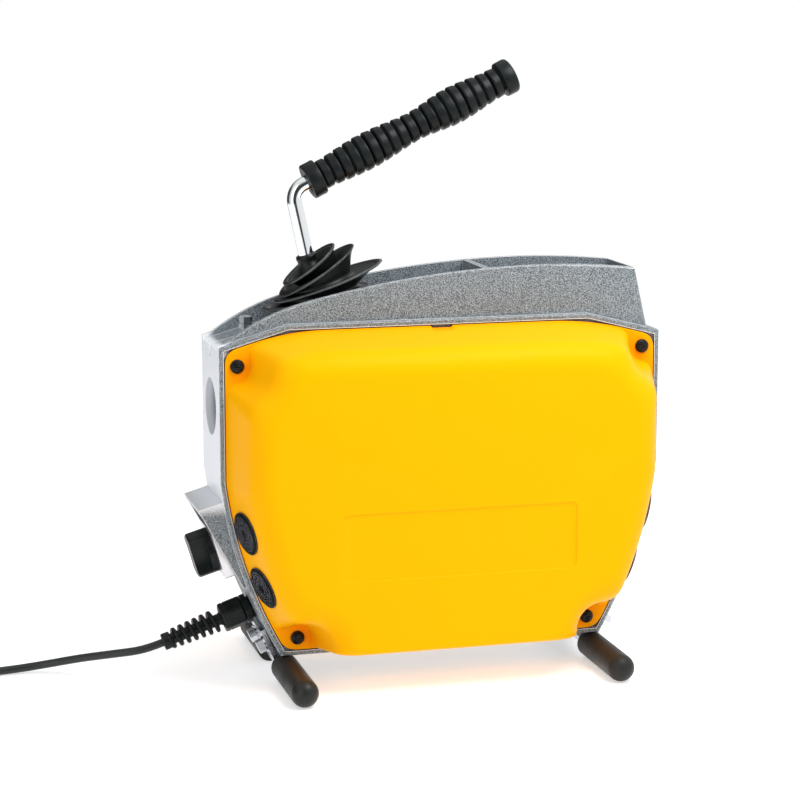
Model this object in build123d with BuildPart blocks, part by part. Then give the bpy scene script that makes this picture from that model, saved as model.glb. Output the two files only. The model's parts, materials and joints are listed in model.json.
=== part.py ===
from build123d import *
import os
from math import asin, cos, hypot, pi, radians, sin, tan

# Drain cleaning machine. All sizes in millimetres.
# X runs along the spindle from the front bore to the rear bore, Y across the
# machine, Z up from the floor. Every piece is drawn about the middle of the
# side covers, and save() moves it by origin_shift so that the finished model
# has its origin under the middle of its outline box.
origin_shift = 12.06

# side covers, outline seen from the side
cover_half_length = 193.3
cover_corner_z = 294.0
cover_top_z = 310.2
cover_top_front = -137.5
cover_top_rear = 131.0
cover_side_low_z = 180.0
cover_belly = (179.0, 113.0)
cover_bottom = (143.0, 29.0)
cover_gap = 1.0
cover_notch = (-2.5, 19.0, 2.0)  # centre, width and depth of the notch in the top edge
rim_thickness = 3.0
cover_wall = 3.0
bulge_height = 55.0
bulge_draft = 15.0
bulge_edge_radius = 24.0
pad_radius = 16.0
screw_places = ((-182.0, 281.0), (181.0, 284.0), (-132.0, 41.0), (133.0, 41.0))
plate_recess = (0.0, 130.5, 207.0, 58.0)
vent_diameter = 38.0
vent_heights = (139.0, 90.0)
vent_depth = 21.0

# casting
lip_width = 4.3
lip_half_depth = 40.5
lip_round = 1.6
wall_round = 1.2
seat_half_depth = 38.0
ring_wall = 12.0
wall_half_depth = 36.5
tray_wall = 4.0
front_face_x = -197.6
front_top_z = 294.3
lip_slit = (-199.0, -174.0, 284.0, 310.0)  # front, rear, low, high
lip_slit_half_width = 3.0
deck_slope = 15.5
deck_thickness = 7.0
deck_end_x = -50.0
tray_floor_z = 304.0
pocket_top_z = 298.0
web_x = 38.0
rear_wall_top = (175.0, 353.5)
rear_wall_foot = (187.0, 301.0)

# spindle line
spindle_z = 240.8
spindle_radius = 17.5
spindle_bore = 13.5
guide_bore_radius = 25.0
guide_bore_end = 160.0
bearing_outer = 31.0
bearing_start = 156.0
bearing_end = 142.0
jaw_head = (-139.0, -117.0, 30.0)
jaw_slot_length = 16.0
jaw_width = 8.0
sleeve_front = -99.0
sleeve_rear = -75.0
sleeve_radius = 31.5
groove_radius = 26.0
groove_width = 10.4
spring_pocket = 23.0
running_gap = 0.03

# lever
pivot = (-95.0, 286.0)
fork_length = 45.0
fork_tilt = 10.0
rod_radius = 6.4
rod_lean = 12.0
rod_corner = (-124.4, 424.4)
rod_bend_radius = 14.0
grip_rise = 26.2
grip_start = 15.0
grip_length = 204.0
grip_bore_end = 151.0

# motor and belt
motor_z = 125.0
motor_radius = 62.0
shaft_radius = 7.5
belt_x = 115.0
belt_width = 15.0
belt_thickness = 4.0
belt_clearance = 0.3
drive_radius = 25.0
driven_radius = 50.0

# switch on the front slope
switch_face = (-198.0, 114.5)
switch_tilt = 16.7
knob_radius = 20.0
knob_depth = 19.0

# cable gland and power cord
gland_root = (-163.0, 61.0)
gland_dip = 19.1
gland_exit = 84.5
cord_diameter = 7.0
coil_centre = (-452.0, 98.0)
coil_mid_radius = 40.0
coil_rows = 4

# feet
foot_x = 141.0
foot_z = 12.0
foot_rod_radius = 5.0
foot_rod_half = 108.0
cap_radius = 12.0
cap_inner = 29.6
cap_outer = 120.4

os.makedirs("parts", exist_ok=True)


def save(part, name):
    """Move a finished piece to the model's origin, label it and write it."""
    solids = [solid.moved(Location((origin_shift, 0, 0))) for solid in part.solids()]
    placed = solids[0] if len(solids) == 1 else Compound(solids)
    placed.label = name
    export_step(placed, f"parts/{name}.step")


def polygon(points):
    """A closed face through the given points."""
    with BuildSketch() as shape:
        with BuildLine():
            Polyline(*points, close=True)
        make_face()
    return shape.sketch


def side_slab(face, low_y, high_y):
    """A face drawn in X and Z, given thickness between two values of Y."""
    with BuildPart() as slab:
        with BuildSketch(Plane.XZ.offset(-high_y)):
            add(face)
        extrude(amount=high_y - low_y)
    return slab.part


def tube_x(radius, bore, x_low, x_high, y=0.0, z=spindle_z):
    """A tube, or a rod if bore is zero, along X."""
    with BuildPart() as tube:
        with BuildSketch(Plane(origin=(x_low, y, z), z_dir=(1, 0, 0))):
            Circle(radius)
            if bore > 0:
                Circle(bore, mode=Mode.SUBTRACT)
        extrude(amount=x_high - x_low)
    return tube.part


def tube_y(radius, bore, y_low, y_high, x, z):
    """A tube, or a rod if bore is zero, along Y."""
    with BuildPart() as tube:
        with BuildSketch(Plane(origin=(x, y_low, z), z_dir=(0, 1, 0))):
            Circle(radius)
            if bore > 0:
                Circle(bore, mode=Mode.SUBTRACT)
        extrude(amount=y_high - y_low)
    return tube.part


def turned(points, plane):
    """A turned piece: (distance along, radius) points, revolved about the plane's normal."""
    with BuildPart() as piece:
        with BuildSketch(Plane(origin=plane.origin, x_dir=plane.z_dir, z_dir=plane.y_dir)):
            with BuildLine():
                Polyline(*points, close=True)
            make_face()
        revolve(axis=Axis(plane.origin, plane.z_dir))
    return piece.part


def hex_head(plane, across_flats, height, bore=0.0):
    """A hexagonal head or nut standing on a plane."""
    with BuildPart() as head:
        with BuildSketch(plane):
            RegularPolygon(across_flats / 2, 6, major_radius=False)
            if bore > 0:
                Circle(bore, mode=Mode.SUBTRACT)
        extrude(amount=height)
    return head.part


def side_outline(grow):
    """Outline of the side covers, moved outwards by grow."""
    half = cover_half_length + grow
    corner_z = cover_corner_z + 0.85 * grow
    top_z = cover_top_z + grow
    belly = (cover_belly[0] + 0.93 * grow, cover_belly[1] - 0.3 * grow)
    low = (cover_bottom[0] + 0.7 * grow, cover_bottom[1] - grow)
    with BuildSketch() as outline:
        with BuildLine():
            Polyline(
                (half, cover_side_low_z),
                (half, corner_z),
                (cover_top_rear, top_z),
                (cover_top_front, top_z),
                (-half, corner_z),
                (-half, cover_side_low_z),
            )
            ThreePointArc((-half, cover_side_low_z), (-belly[0], belly[1]), (-low[0], low[1]))
            Line((-low[0], low[1]), low)
            ThreePointArc(low, belly, (half, cover_side_low_z))
        make_face()
    return outline.sketch


def deck_z(x):
    """Height of the sloping deck behind the front face."""
    return front_top_z + (x - front_face_x) * tan(radians(deck_slope))


def upper_outline():
    """Side view of the walls above the covers, with their curved top edge."""
    base_z = 280.0
    with BuildSketch() as outline:
        with BuildLine():
            rise = ThreePointArc((front_face_x, front_top_z), (-166.0, 315.5), (-124.0, 332.0))
            crown = ThreePointArc(rise @ 1, (-21.0, 351.0), (92.0, 358.3))
            fall = ThreePointArc(crown @ 1, (134.0, 357.0), rear_wall_top)
            Polyline(fall @ 1, rear_wall_foot, (rear_wall_foot[0], base_z), (front_face_x, base_z), rise @ 0)
        make_face()
    return outline.sketch


def pocket_outline():
    """The machine space that goes through the casting, stepped round the bearing blocks."""
    side = cover_half_length - ring_wall
    block_low_z = 205.0
    low = (134.0, cover_bottom[1] + ring_wall)
    belly = (168.0, 117.0)
    with BuildSketch() as outline:
        with BuildLine():
            Polyline(
                (side, 176.0),
                (side, block_low_z),
                (bearing_end, block_low_z),
                (bearing_end, pocket_top_z),
                (-bearing_end, pocket_top_z),
                (-bearing_end, block_low_z),
                (-side, block_low_z),
                (-side, 176.0),
            )
            ThreePointArc((-side, 176.0), (-belly[0], belly[1]), (-low[0], low[1]))
            Line((-low[0], low[1]), low)
            ThreePointArc(low, belly, (side, 176.0))
        make_face()
    return outline.sketch


def tilted_plane(place, tilt, along=0.0):
    """Plane on the front slope, its normal pointing forwards and down by tilt degrees."""
    normal = (-cos(radians(tilt)), 0, -sin(radians(tilt)))
    origin = (place[0] + normal[0] * along, 0, place[1] + normal[2] * along)
    return Plane(origin=origin, x_dir=(0, 1, 0), z_dir=normal)


def switch_plane(along=0.0):
    return tilted_plane(switch_face, switch_tilt, along)


def gland_plane(along=0.0):
    return tilted_plane(gland_root, gland_dip, along)


# casting
def guard_walls():
    """Hood over the switch: two side wedges and a sloping roof."""
    wedge = polygon([(-216, 157), (-194, 163.5), (-188, 150), (-170, 87), (-178, 87)])
    roof = polygon([(-216, 157), (-194, 163.5), (-188, 160), (-214.5, 153)])
    near = side_slab(wedge, -wall_half_depth, -32.5)
    far = side_slab(wedge, 32.5, wall_half_depth)
    return near + far + side_slab(roof, -wall_half_depth, wall_half_depth)


def lower_slope_plane(sign, along, out):
    """Plane on the casting's lower slope; sign is -1 at the front and 1 at the rear."""
    start = (147.3, 24.7)
    end = (158.5, 50.0)
    length = hypot(end[0] - start[0], end[1] - start[1])
    run = ((end[0] - start[0]) / length, (end[1] - start[1]) / length)
    normal = (run[1], -run[0])
    x = start[0] + run[0] * along + normal[0] * out
    z = start[1] + run[1] * along + normal[1] * out
    return Plane(origin=(sign * x, 0, z), x_dir=(0, 1, 0), z_dir=(sign * normal[0], 0, normal[1]))


def upper_block():
    """The solid that the trays and the deck are cut from, with its long edges rounded."""
    with BuildPart() as block:
        with BuildSketch(Plane.XZ.offset(-wall_half_depth)):
            add(upper_outline())
            with Locations((0, pocket_top_z - 100)):
                Rectangle(800, 200, mode=Mode.SUBTRACT)
        extrude(amount=2 * wall_half_depth)
        outer = block.edges().group_by(Axis.Y)[0] + block.edges().group_by(Axis.Y)[-1]
        fillet(outer.filter_by(lambda edge: edge.center().Z > pocket_top_z + 1), radius=wall_round)
    return block.part


def make_housing():
    with BuildPart() as housing:
        with BuildSketch(Plane.XZ.offset(-lip_half_depth)):
            add(side_outline(lip_width))
        extrude(amount=2 * lip_half_depth)
        outer_edges = housing.edges().group_by(Axis.Y)[0] + housing.edges().group_by(Axis.Y)[-1]
        fillet(outer_edges, radius=lip_round)
        for side in (-1, 1):
            with BuildSketch(Plane.XZ.offset(side * lip_half_depth)):
                add(side_outline(0))
            extrude(amount=-side * (lip_half_depth - seat_half_depth), mode=Mode.SUBTRACT)
        with BuildSketch(Plane.XZ.offset(-lip_half_depth)):
            add(pocket_outline())
        extrude(amount=2 * lip_half_depth, mode=Mode.SUBTRACT)
        add(upper_block())
        add(guard_walls())
    body = housing.part
    inner = wall_half_depth - tray_wall
    above = 380.0
    deck_cut = polygon(
        [
            (front_face_x - 2, deck_z(front_face_x - 2)),
            (deck_end_x, deck_z(deck_end_x)),
            (deck_end_x, above),
            (front_face_x - 2, above),
        ]
    )
    front_tray = polygon(
        [(deck_end_x - 0.5, tray_floor_z), (web_x, tray_floor_z), (web_x, above), (deck_end_x - 0.5, above)]
    )
    rear_tray = polygon(
        [(web_x + 4, tray_floor_z), (182.3, tray_floor_z), (169.5, above), (web_x + 4, above)]
    )
    under_deck = polygon(
        [
            (-bearing_end, 290),
            (-bearing_end, deck_z(-bearing_end) - deck_thickness),
            (deck_end_x - 4, deck_z(deck_end_x - 4) - deck_thickness),
            (deck_end_x - 4, 290),
        ]
    )
    for cut in (deck_cut, front_tray, rear_tray):
        body = body - side_slab(cut, -inner, inner)
    body = body - side_slab(under_deck, -29.5, 29.5)
    lug = polygon([(-111, 310), (-111, 286), (-105, 274), (-85, 274), (-79, 286), (-79, 310)])
    for low_y in (-34.5, 29.3):
        body = body + side_slab(lug, low_y, low_y + 5.2)
    body = body - tube_y(6.0 + running_gap, 0, -39, 39, *pivot)
    return finish_housing(body)


def finish_housing(body):
    """Bores, lever slot, motor web, cradle and the fastener holes."""
    for sign in (-1, 1):
        ends = sorted((sign * (guide_bore_end), sign * 200.0))
        body = body - tube_x(guide_bore_radius, 0, *ends)
        ends = sorted((sign * bearing_end, sign * bearing_start))
        body = body - tube_x(bearing_outer, 0, *ends)
        ends = sorted((sign * (bearing_start - 1), sign * (guide_bore_end + 1)))
        body = body - tube_x(22.0, 0, *ends)
    front, rear, low, high = lip_slit
    slit = polygon([(front, low), (rear, low), (rear, high), (front, high)])
    body = body - side_slab(slit, -lip_slit_half_width, lip_slit_half_width)
    slot = polygon([(-113, 300), (-113, 340), (-80, 340), (-80, 300)])
    body = body - side_slab(slot, -10, 10)
    web = polygon([(77, 30), (77, 188), (85, 188), (85, 30)])
    cradle = polygon([(-62, 35), (-62, 70), (-42, 70), (-42, 35)])
    with BuildPart() as supports:
        add(side_slab(web, -seat_half_depth, seat_half_depth))
        add(side_slab(cradle, -seat_half_depth, seat_half_depth))
        add(tube_x(30.0, 0, 70, 90, z=motor_z), mode=Mode.SUBTRACT)
        add(tube_x(motor_radius + 0.2, 0, -70, -30, z=motor_z), mode=Mode.SUBTRACT)
        for y in (-28, 28):
            for z in (motor_z - 42, motor_z + 42):
                add(tube_x(3.1, 0, 70, 90, y, z), mode=Mode.SUBTRACT)
    body = body + supports.part
    with BuildPart() as tools:
        with BuildSketch(switch_plane(-8.2)):
            Rectangle(34, 34)
        extrude(amount=-40)
        with BuildSketch(gland_plane(20)):
            Circle(10.2)
        extrude(amount=-50)
        for sign in (-1, 1):
            with BuildSketch(lower_slope_plane(sign, 9.0, 5.0)):
                with Locations((18, 0), (-18, 0)):
                    Circle(3.15)
            extrude(amount=-28)
        with BuildSketch(Plane(origin=(-166, 0, 320), z_dir=(0, 0, -1))):
            Circle(3.1)
        extrude(amount=60)
    body = body - tools.part
    for x, z in screw_places:
        body = body - tube_y(2.1, 0, -45, 45, x, z)
    return body


save(make_housing(), "main_housing")


# covers
def corner_pads(depth_from, grow):
    """Columns that stand over the four screw pads and cut the bulge away there."""
    with BuildPart() as pads:
        for index, (x, z) in enumerate(screw_places):
            outward = 1 if x > 0 else -1
            up = 1 if index < 2 else -1
            with BuildSketch(Plane.XZ.offset(depth_from)):
                with Locations((x, z)):
                    Circle(pad_radius - grow)
                with Locations((x + outward * 20, z + up * 20)):
                    Rectangle(40, 40)
            extrude(amount=90)
    return pads.part


def bulge(inset, height, edge_radius, pad_grow):
    """The drafted, rounded body of a cover, standing on its rim."""
    with BuildPart() as body:
        with BuildSketch(Plane.XZ.offset(seat_half_depth)):
            add(side_outline(-inset))
        extrude(amount=height, taper=bulge_draft)
        outer_face = body.faces().sort_by(Axis.Y)[0]
        fillet(outer_face.edges(), radius=edge_radius)
    return body.part - corner_pads(seat_half_depth + rim_thickness - pad_grow, pad_grow)


def circle_centre(a, b, c):
    """Centre of the circle through three points."""
    d = 2 * (a[0] * (b[1] - c[1]) + b[0] * (c[1] - a[1]) + c[0] * (a[1] - b[1]))
    squares = [p[0] ** 2 + p[1] ** 2 for p in (a, b, c)]
    x = (squares[0] * (b[1] - c[1]) + squares[1] * (c[1] - a[1]) + squares[2] * (a[1] - b[1])) / d
    z = (squares[0] * (c[0] - b[0]) + squares[1] * (a[0] - c[0]) + squares[2] * (b[0] - a[0])) / d
    return x, z


def flank_plane(end, side, z):
    """Plane on a cover's drafted flank at height z; end is -1 at the front, side -1 is the near cover."""
    centre = circle_centre((cover_half_length, cover_side_low_z), cover_belly, cover_bottom)
    radius = hypot(cover_bottom[0] - centre[0], cover_bottom[1] - centre[1])
    rise = (z - centre[1]) / radius
    across = cos(asin(rise))
    draft = radians(bulge_draft)
    reach = radius - 2.0 - vent_depth * tan(draft)
    origin = (
        end * (centre[0] + reach * across),
        side * (seat_half_depth + vent_depth),
        centre[1] + reach * rise,
    )
    normal = (end * across * cos(draft), side * sin(draft), rise * cos(draft))
    return Plane(origin=origin, x_dir=(0, 1, 0), z_dir=normal)


def make_cover():
    with BuildPart() as cover:
        with BuildSketch(Plane.XZ.offset(seat_half_depth)):
            add(side_outline(-cover_gap))
        extrude(amount=rim_thickness)
        add(bulge(2.0, rim_thickness + bulge_height, bulge_edge_radius, 0.0))
        inner = bulge(2.0 + cover_wall + 1.5, bulge_height, bulge_edge_radius - 3, -cover_wall)
        add(inner, mode=Mode.SUBTRACT)
        with BuildSketch(Plane.XZ.offset(seat_half_depth + rim_thickness + bulge_height)):
            with Locations((plate_recess[0], plate_recess[1])):
                RectangleRounded(plate_recess[2], plate_recess[3], 4)
        extrude(amount=-1.0, mode=Mode.SUBTRACT)
        with BuildSketch(Plane.XZ.offset(seat_half_depth)):
            with Locations((cover_notch[0], cover_top_z - cover_gap)):
                Rectangle(cover_notch[1], 2 * cover_notch[2])
        extrude(amount=rim_thickness, mode=Mode.SUBTRACT)
    body = cover.part
    for x, z in screw_places:
        body = body - tube_y(2.6, 0, -60, -20, x, z)
    with BuildPart() as holes:
        for end in (-1, 1):
            for z in vent_heights:
                with BuildSketch(flank_plane(end, -1, z)):
                    Circle(vent_diameter / 2 - 2.0)
                extrude(amount=12, both=True)
    return body - holes.part


near_cover = make_cover()
save(near_cover, "near_cover")
save(near_cover.mirror(Plane.XZ), "far_cover")


def make_vent(end, side, z):
    """Round push-in vent: a domed head with ring slots and a short skirt."""
    plane = flank_plane(end, side, z)
    head = vent_diameter / 2
    skirt = head - 2.2
    vent = turned(
        [
            (-7, skirt - 2), (-7, skirt), (0.9, skirt), (0.9, head),
            (2.0, head), (3.2, head - 2.2), (3.2, 0), (0.6, 0),
        ],
        plane,
    )
    vent = vent - turned([(-8, 0), (0.6, 0), (0.6, skirt - 2), (-8, skirt - 2)], plane)
    for ring in (5.0, 9.0, 13.0):
        groove = [(1.6, ring), (3.5, ring), (3.5, ring + 2.0), (1.6, ring + 2.0)]
        vent = vent - turned(groove, plane)
    return vent


vents = [make_vent(end, side, z) for end in (-1, 1) for side in (-1, 1) for z in vent_heights]
save(Compound(children=vents), "vent_plugs")


def make_cover_screw(x, z, side):
    """Pan head screw with a cross recess, driven along Y."""
    face_y = seat_half_depth + rim_thickness
    plane = Plane(origin=(x, side * face_y, z), x_dir=(1, 0, 0), z_dir=(0, side, 0))
    screw = turned([(0.05, 0), (0.05, 6), (1.5, 6), (3.2, 4.4), (3.9, 2.4), (4.0, 0)], plane)
    screw = screw + turned([(-22, 0), (-22, 2.05), (0.1, 2.05), (0.1, 0)], plane)
    with BuildPart() as cross:
        with BuildSketch(plane.offset(2.2)):
            Rectangle(6.0, 1.4)
            Rectangle(1.4, 6.0)
        extrude(amount=4)
    return screw - cross.part


screws = [make_cover_screw(x, z, side) for side in (-1, 1) for x, z in screw_places]
save(Compound(children=screws), "cover_screws")


# spindle line
def make_bearing(x_low, width, outer, bore):
    """Ball bearing along X: two grooved rings and nine balls."""
    middle = (outer + bore) / 2
    ball = (outer - bore) * 0.29
    land = (outer - bore) * 0.22
    outer_ring = tube_x(outer, outer - land, x_low, x_low + width)
    inner_ring = tube_x(bore + land, bore, x_low, x_low + width)
    with BuildPart() as track:
        with BuildSketch(Plane.XY):
            with Locations((x_low + width / 2, middle)):
                Circle(ball + 0.05)
        revolve(axis=Axis.X)
    track = track.part.moved(Location((0, 0, spindle_z)))
    balls = []
    for index in range(9):
        angle = radians(40 * index)
        centre = (x_low + width / 2, middle * sin(angle), spindle_z + middle * cos(angle))
        with BuildPart() as one:
            Sphere(ball)
        balls.append(one.part.moved(Location(centre)))
    return Compound(children=[outer_ring - track, inner_ring - track, *balls])


bearing_width = bearing_start - bearing_end - 0.1
save(
    make_bearing(-bearing_start + 0.05, bearing_width, bearing_outer - 0.01, spindle_radius + running_gap),
    "front_bearing",
)
save(
    make_bearing(bearing_end + 0.05, bearing_width, bearing_outer - 0.01, spindle_radius + running_gap),
    "rear_bearing",
)
save(tube_x(guide_bore_radius - 0.02, 18.0, 172, 192) + tube_x(22.0, 18.0, 166, 172.5), "rear_guide_ring")


def make_spindle():
    front, rear, head = jaw_head
    body = tube_x(spindle_radius, 0, -157.5, 157.5) + tube_x(head, 0, front, rear)
    body = body - tube_x(spindle_bore, 0, -160, 160)
    slot_x = (front + rear) / 2
    with BuildPart() as slots:
        for index in range(3):
            angle = radians(120 * index)
            outward = (0, sin(angle), cos(angle))
            with BuildSketch(Plane(origin=(slot_x, 0, spindle_z), x_dir=(1, 0, 0), z_dir=outward)):
                Rectangle(jaw_slot_length, jaw_width + 0.2)
            extrude(amount=head + 5)
    return body - slots.part


def make_jaw(index):
    """Clamping jaw: a block with a toothed inner end that slides radially."""
    front, rear, head = jaw_head
    angle = radians(120 * index)
    outward = Vector(0, sin(angle), cos(angle))
    plane = Plane(origin=((front + rear) / 2, 0, spindle_z), x_dir=(1, 0, 0), z_dir=outward)
    with BuildPart() as jaw:
        with BuildSketch(plane.offset(16.8)):
            Rectangle(jaw_slot_length - 0.4, jaw_width - 0.2)
        extrude(amount=head - 0.8 - 16.8)
        outer_face = jaw.faces().sort_by(lambda f: f.center().dot(outward))[-1]
        chamfer(outer_face.edges(), length=1.5)
        with BuildSketch(plane.offset(16.8)):
            with GridLocations(3.0, 1, 5, 1):
                Rectangle(1.2, jaw_width + 2)
        extrude(amount=1.0, mode=Mode.SUBTRACT)
    return jaw.part


save(make_spindle(), "spindle")
for jaw_index in range(3):
    save(make_jaw(jaw_index), f"jaw_{jaw_index + 1}")
save(tube_x(jaw_head[2] + 1.4, jaw_head[2] + 0.05, -130, -126), "jaw_band")


def make_sleeve():
    """Pressure sleeve with the fork groove and a pocket for the return spring."""
    middle = pivot[0] + fork_length * sin(radians(fork_tilt))
    body = tube_x(sleeve_radius, spindle_radius + running_gap, sleeve_front, sleeve_rear)
    half = groove_width / 2
    body = body - tube_x(sleeve_radius + 5, groove_radius, middle - half, middle + half)
    return body - tube_x(spring_pocket, 0, sleeve_front - 1, sleeve_rear - 4) + tube_x(
        spindle_radius + 2.0, spindle_radius + running_gap, sleeve_rear - 4.5, sleeve_rear
    )


save(make_sleeve(), "pressure_sleeve")


def make_return_spring():
    """Compression spring between the jaw head and the pressure sleeve."""
    start = jaw_head[1] + 1.5
    height = sleeve_rear - 4 - 1.5 - start
    mean_radius = 20.8
    with BuildPart() as spring:
        with BuildLine():
            Helix(pitch=height / 5, height=height, radius=mean_radius)
        with BuildSketch(Plane(origin=(mean_radius, 0, 0), z_dir=(0, 1, 0))):
            Circle(1.2)
        sweep()
    return spring.part.rotate(Axis.Y, 90).moved(Location((start, 0, spindle_z)))


save(make_return_spring(), "return_spring")


def pulley(x_low, x_high, radius, bore, z, hub_radius, spokes):
    """Belt pulley along X with a hub, and openings between its spokes if it is large."""
    body = tube_x(radius, bore, x_low, x_high, z=z)
    if spokes:
        thin = 4.5
        body = body - tube_x(radius - 6, hub_radius, x_low - 1, x_low + thin, z=z)
        body = body - tube_x(radius - 6, hub_radius, x_high - thin, x_high + 1, z=z)
        with BuildPart() as holes:
            with BuildSketch(Plane(origin=(x_low, 0, z), z_dir=(1, 0, 0))):
                with PolarLocations((radius - 6 + hub_radius) / 2, spokes):
                    Circle((radius - 6 - hub_radius) / 2 - 1.5)
            extrude(amount=x_high - x_low)
        body = body - holes.part
    return body


belt_low = belt_x - belt_width / 2
belt_high = belt_x + belt_width / 2
save(pulley(belt_low - 1, belt_high + 1, driven_radius, spindle_radius, spindle_z, 24.0, 6), "driven_pulley")
small = pulley(belt_low - 1, belt_high + 1, drive_radius, shaft_radius, motor_z, 14.0, 0)
for rim_low in (belt_low - 3.5, belt_high + 1):
    small = small + tube_x(drive_radius + 4.5, shaft_radius, rim_low, rim_low + 2.5, z=motor_z)
save(small, "drive_pulley")


def make_belt():
    """Flat ribbed belt round both pulleys, as the band between two hulls."""
    with BuildPart() as belt:
        for grow, mode in ((belt_clearance + belt_thickness, Mode.ADD), (belt_clearance, Mode.SUBTRACT)):
            with BuildSketch(Plane(origin=(belt_low, 0, 0), x_dir=(0, 1, 0), z_dir=(1, 0, 0))) as band:
                with Locations((0, spindle_z)):
                    Circle(driven_radius + grow)
                with Locations((0, motor_z)):
                    Circle(drive_radius + grow)
                make_hull()
            extrude(amount=belt_width, mode=mode)
    return belt.part


save(make_belt(), "drive_belt")


def make_circlip(x):
    with BuildPart() as clip:
        with BuildSketch(Plane(origin=(x, 0, spindle_z), z_dir=(1, 0, 0))):
            Circle(20.5)
            Circle(spindle_radius + 0.02, mode=Mode.SUBTRACT)
            with Locations((20, 0)):
                Rectangle(10, 5, mode=Mode.SUBTRACT)
        extrude(amount=1.5)
    return clip.part


save(Compound(children=[make_circlip(belt_high + 2.0), make_circlip(belt_low - 3.5)]), "pulley_circlips")


# lever
rod_up = (-sin(radians(rod_lean)), cos(radians(rod_lean)))
grip_way = (cos(radians(grip_rise)), sin(radians(grip_rise)))


def on_line(start, way, distance):
    return (start[0] + way[0] * distance, 0, start[1] + way[1] * distance)


def make_hub():
    """Lever hub on its shaft, with the socket that holds the rod."""
    socket_plane = Plane(origin=on_line(pivot, rod_up, 5), x_dir=(0, 1, 0), z_dir=(rod_up[0], 0, rod_up[1]))
    body = tube_y(11.0, 0, -28.5, 28.5, *pivot)
    with BuildPart() as socket:
        with BuildSketch(socket_plane):
            Circle(9.0)
        extrude(amount=20)
    body = body + socket.part - tube_y(6.02, 0, -30, 30, *pivot)
    with BuildPart() as hole:
        with BuildSketch(socket_plane.offset(5)):
            Circle(rod_radius + 0.03)
        extrude(amount=40)
    return body - hole.part


def make_fork_arm(side):
    """Fork arm clamped on the end of the lever shaft, reaching down to the sleeve."""
    tip = (
        pivot[0] + fork_length * sin(radians(fork_tilt)),
        pivot[1] - fork_length * cos(radians(fork_tilt)),
    )
    with BuildPart() as arm:
        with BuildSketch(Plane.XZ.offset(-side * 38.25)):
            with Locations(pivot):
                Circle(9.0)
            with Locations(tip):
                Circle(6.5)
            make_hull()
            with Locations(pivot):
                Circle(6.02, mode=Mode.SUBTRACT)
            with Locations(tip):
                Circle(3.02, mode=Mode.SUBTRACT)
        extrude(amount=2.75, both=True)
    return arm.part


def make_shoe(side):
    tip_x = pivot[0] + fork_length * sin(radians(fork_tilt))
    tip_z = pivot[1] - fork_length * cos(radians(fork_tilt))
    low, high = sorted((side * 26.7, side * 35.4))
    pad = tube_y(4.5, 0, low, high, tip_x, tip_z)
    low, high = sorted((side * 35.3, side * 41.5))
    return pad + tube_y(3.0, 0, low, high, tip_x, tip_z)


save(make_hub(), "lever_hub")
save(tube_y(6.0, 0, -43, 43, *pivot), "lever_shaft")
save(Compound(children=[make_fork_arm(-1), make_fork_arm(1)]), "fork_arms")
save(Compound(children=[make_shoe(-1), make_shoe(1)]), "fork_shoes")
shaft_clips = [tube_y(8.5, 6.02, low, low + 1.2, *pivot) for low in (-42.4, 41.2)]
save(Compound(children=shaft_clips), "shaft_clips")


def make_rod():
    """Bent lever rod, from the hub's socket up and back into the grip."""
    start = on_line(pivot, rod_up, 10.2)
    corner = (rod_corner[0], 0, rod_corner[1])
    end = on_line(rod_corner, grip_way, grip_start + 150)
    with BuildPart() as rod:
        with BuildLine() as path:
            FilletPolyline(start, corner, end, radius=rod_bend_radius)
        with BuildSketch(Plane(origin=start, z_dir=path.line % 0)):
            Circle(rod_radius)
        sweep()
    return rod.part


def make_grip():
    """Grip with a swollen front half and a waist, closed at its far end."""
    plane = Plane(
        origin=on_line(rod_corner, grip_way, grip_start),
        x_dir=(0, 1, 0),
        z_dir=(grip_way[0], 0, grip_way[1]),
    )
    with BuildPart() as grip:
        with BuildSketch(Plane(origin=plane.origin, x_dir=plane.z_dir, z_dir=plane.y_dir)):
            with BuildLine():
                Polyline((0, rod_radius + 0.03), (0, 15.7), (13, 15.7), (14, 12.4))
                swell = Spline((14, 12.4), (58, 16.0), (104, 12.4), (146, 16.3), (190, 12.9))
                flange = Polyline(swell @ 1, (191, 15.5), (grip_length, 15.5))
                bore = rod_radius + running_gap
                Polyline(flange @ 1, (grip_length, 0), (grip_bore_end, 0), (grip_bore_end, bore), (0, bore))
            make_face()
        revolve(axis=Axis(plane.origin, plane.z_dir))
    return grip.part


save(make_rod(), "lever_rod")
save(make_grip(), "lever_grip")


def deck_plane(x, above):
    """Plane parallel to the sloping deck, above it by a distance."""
    normal = (-sin(radians(deck_slope)), 0, cos(radians(deck_slope)))
    return Plane(
        origin=(x + normal[0] * above, 0, deck_z(x) + normal[2] * above),
        x_dir=(cos(radians(deck_slope)), 0, sin(radians(deck_slope))),
        z_dir=normal,
    )


def make_boot_retainer():
    with BuildPart() as ring:
        with BuildSketch(deck_plane(-101, 0.05)):
            RectangleRounded(88, 60, 20)
            RectangleRounded(66, 38, 12, mode=Mode.SUBTRACT)
        extrude(amount=2.5)
    return ring.part


def make_boot():
    """Plain hollow cone that stands for the folded rubber boot."""
    collar = Plane(
        origin=on_line(rod_corner, rod_up, -58), x_dir=(cos(radians(rod_lean)), 0, sin(radians(rod_lean))),
        z_dir=(rod_up[0], 0, rod_up[1]),
    )
    with BuildPart() as boot:
        with BuildSketch(deck_plane(-101, 2.8)):
            Ellipse(43, 29.5)
        with BuildSketch(collar):
            Circle(10.5)
        loft()
        with BuildSketch(deck_plane(-101, 2.7)):
            Ellipse(32, 20)
        with BuildSketch(collar.offset(0.1)):
            Circle(rod_radius + 0.4)
        loft(mode=Mode.SUBTRACT)
    return boot.part


save(make_boot_retainer(), "boot_retainer")
save(make_boot(), "lever_boot")


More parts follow.
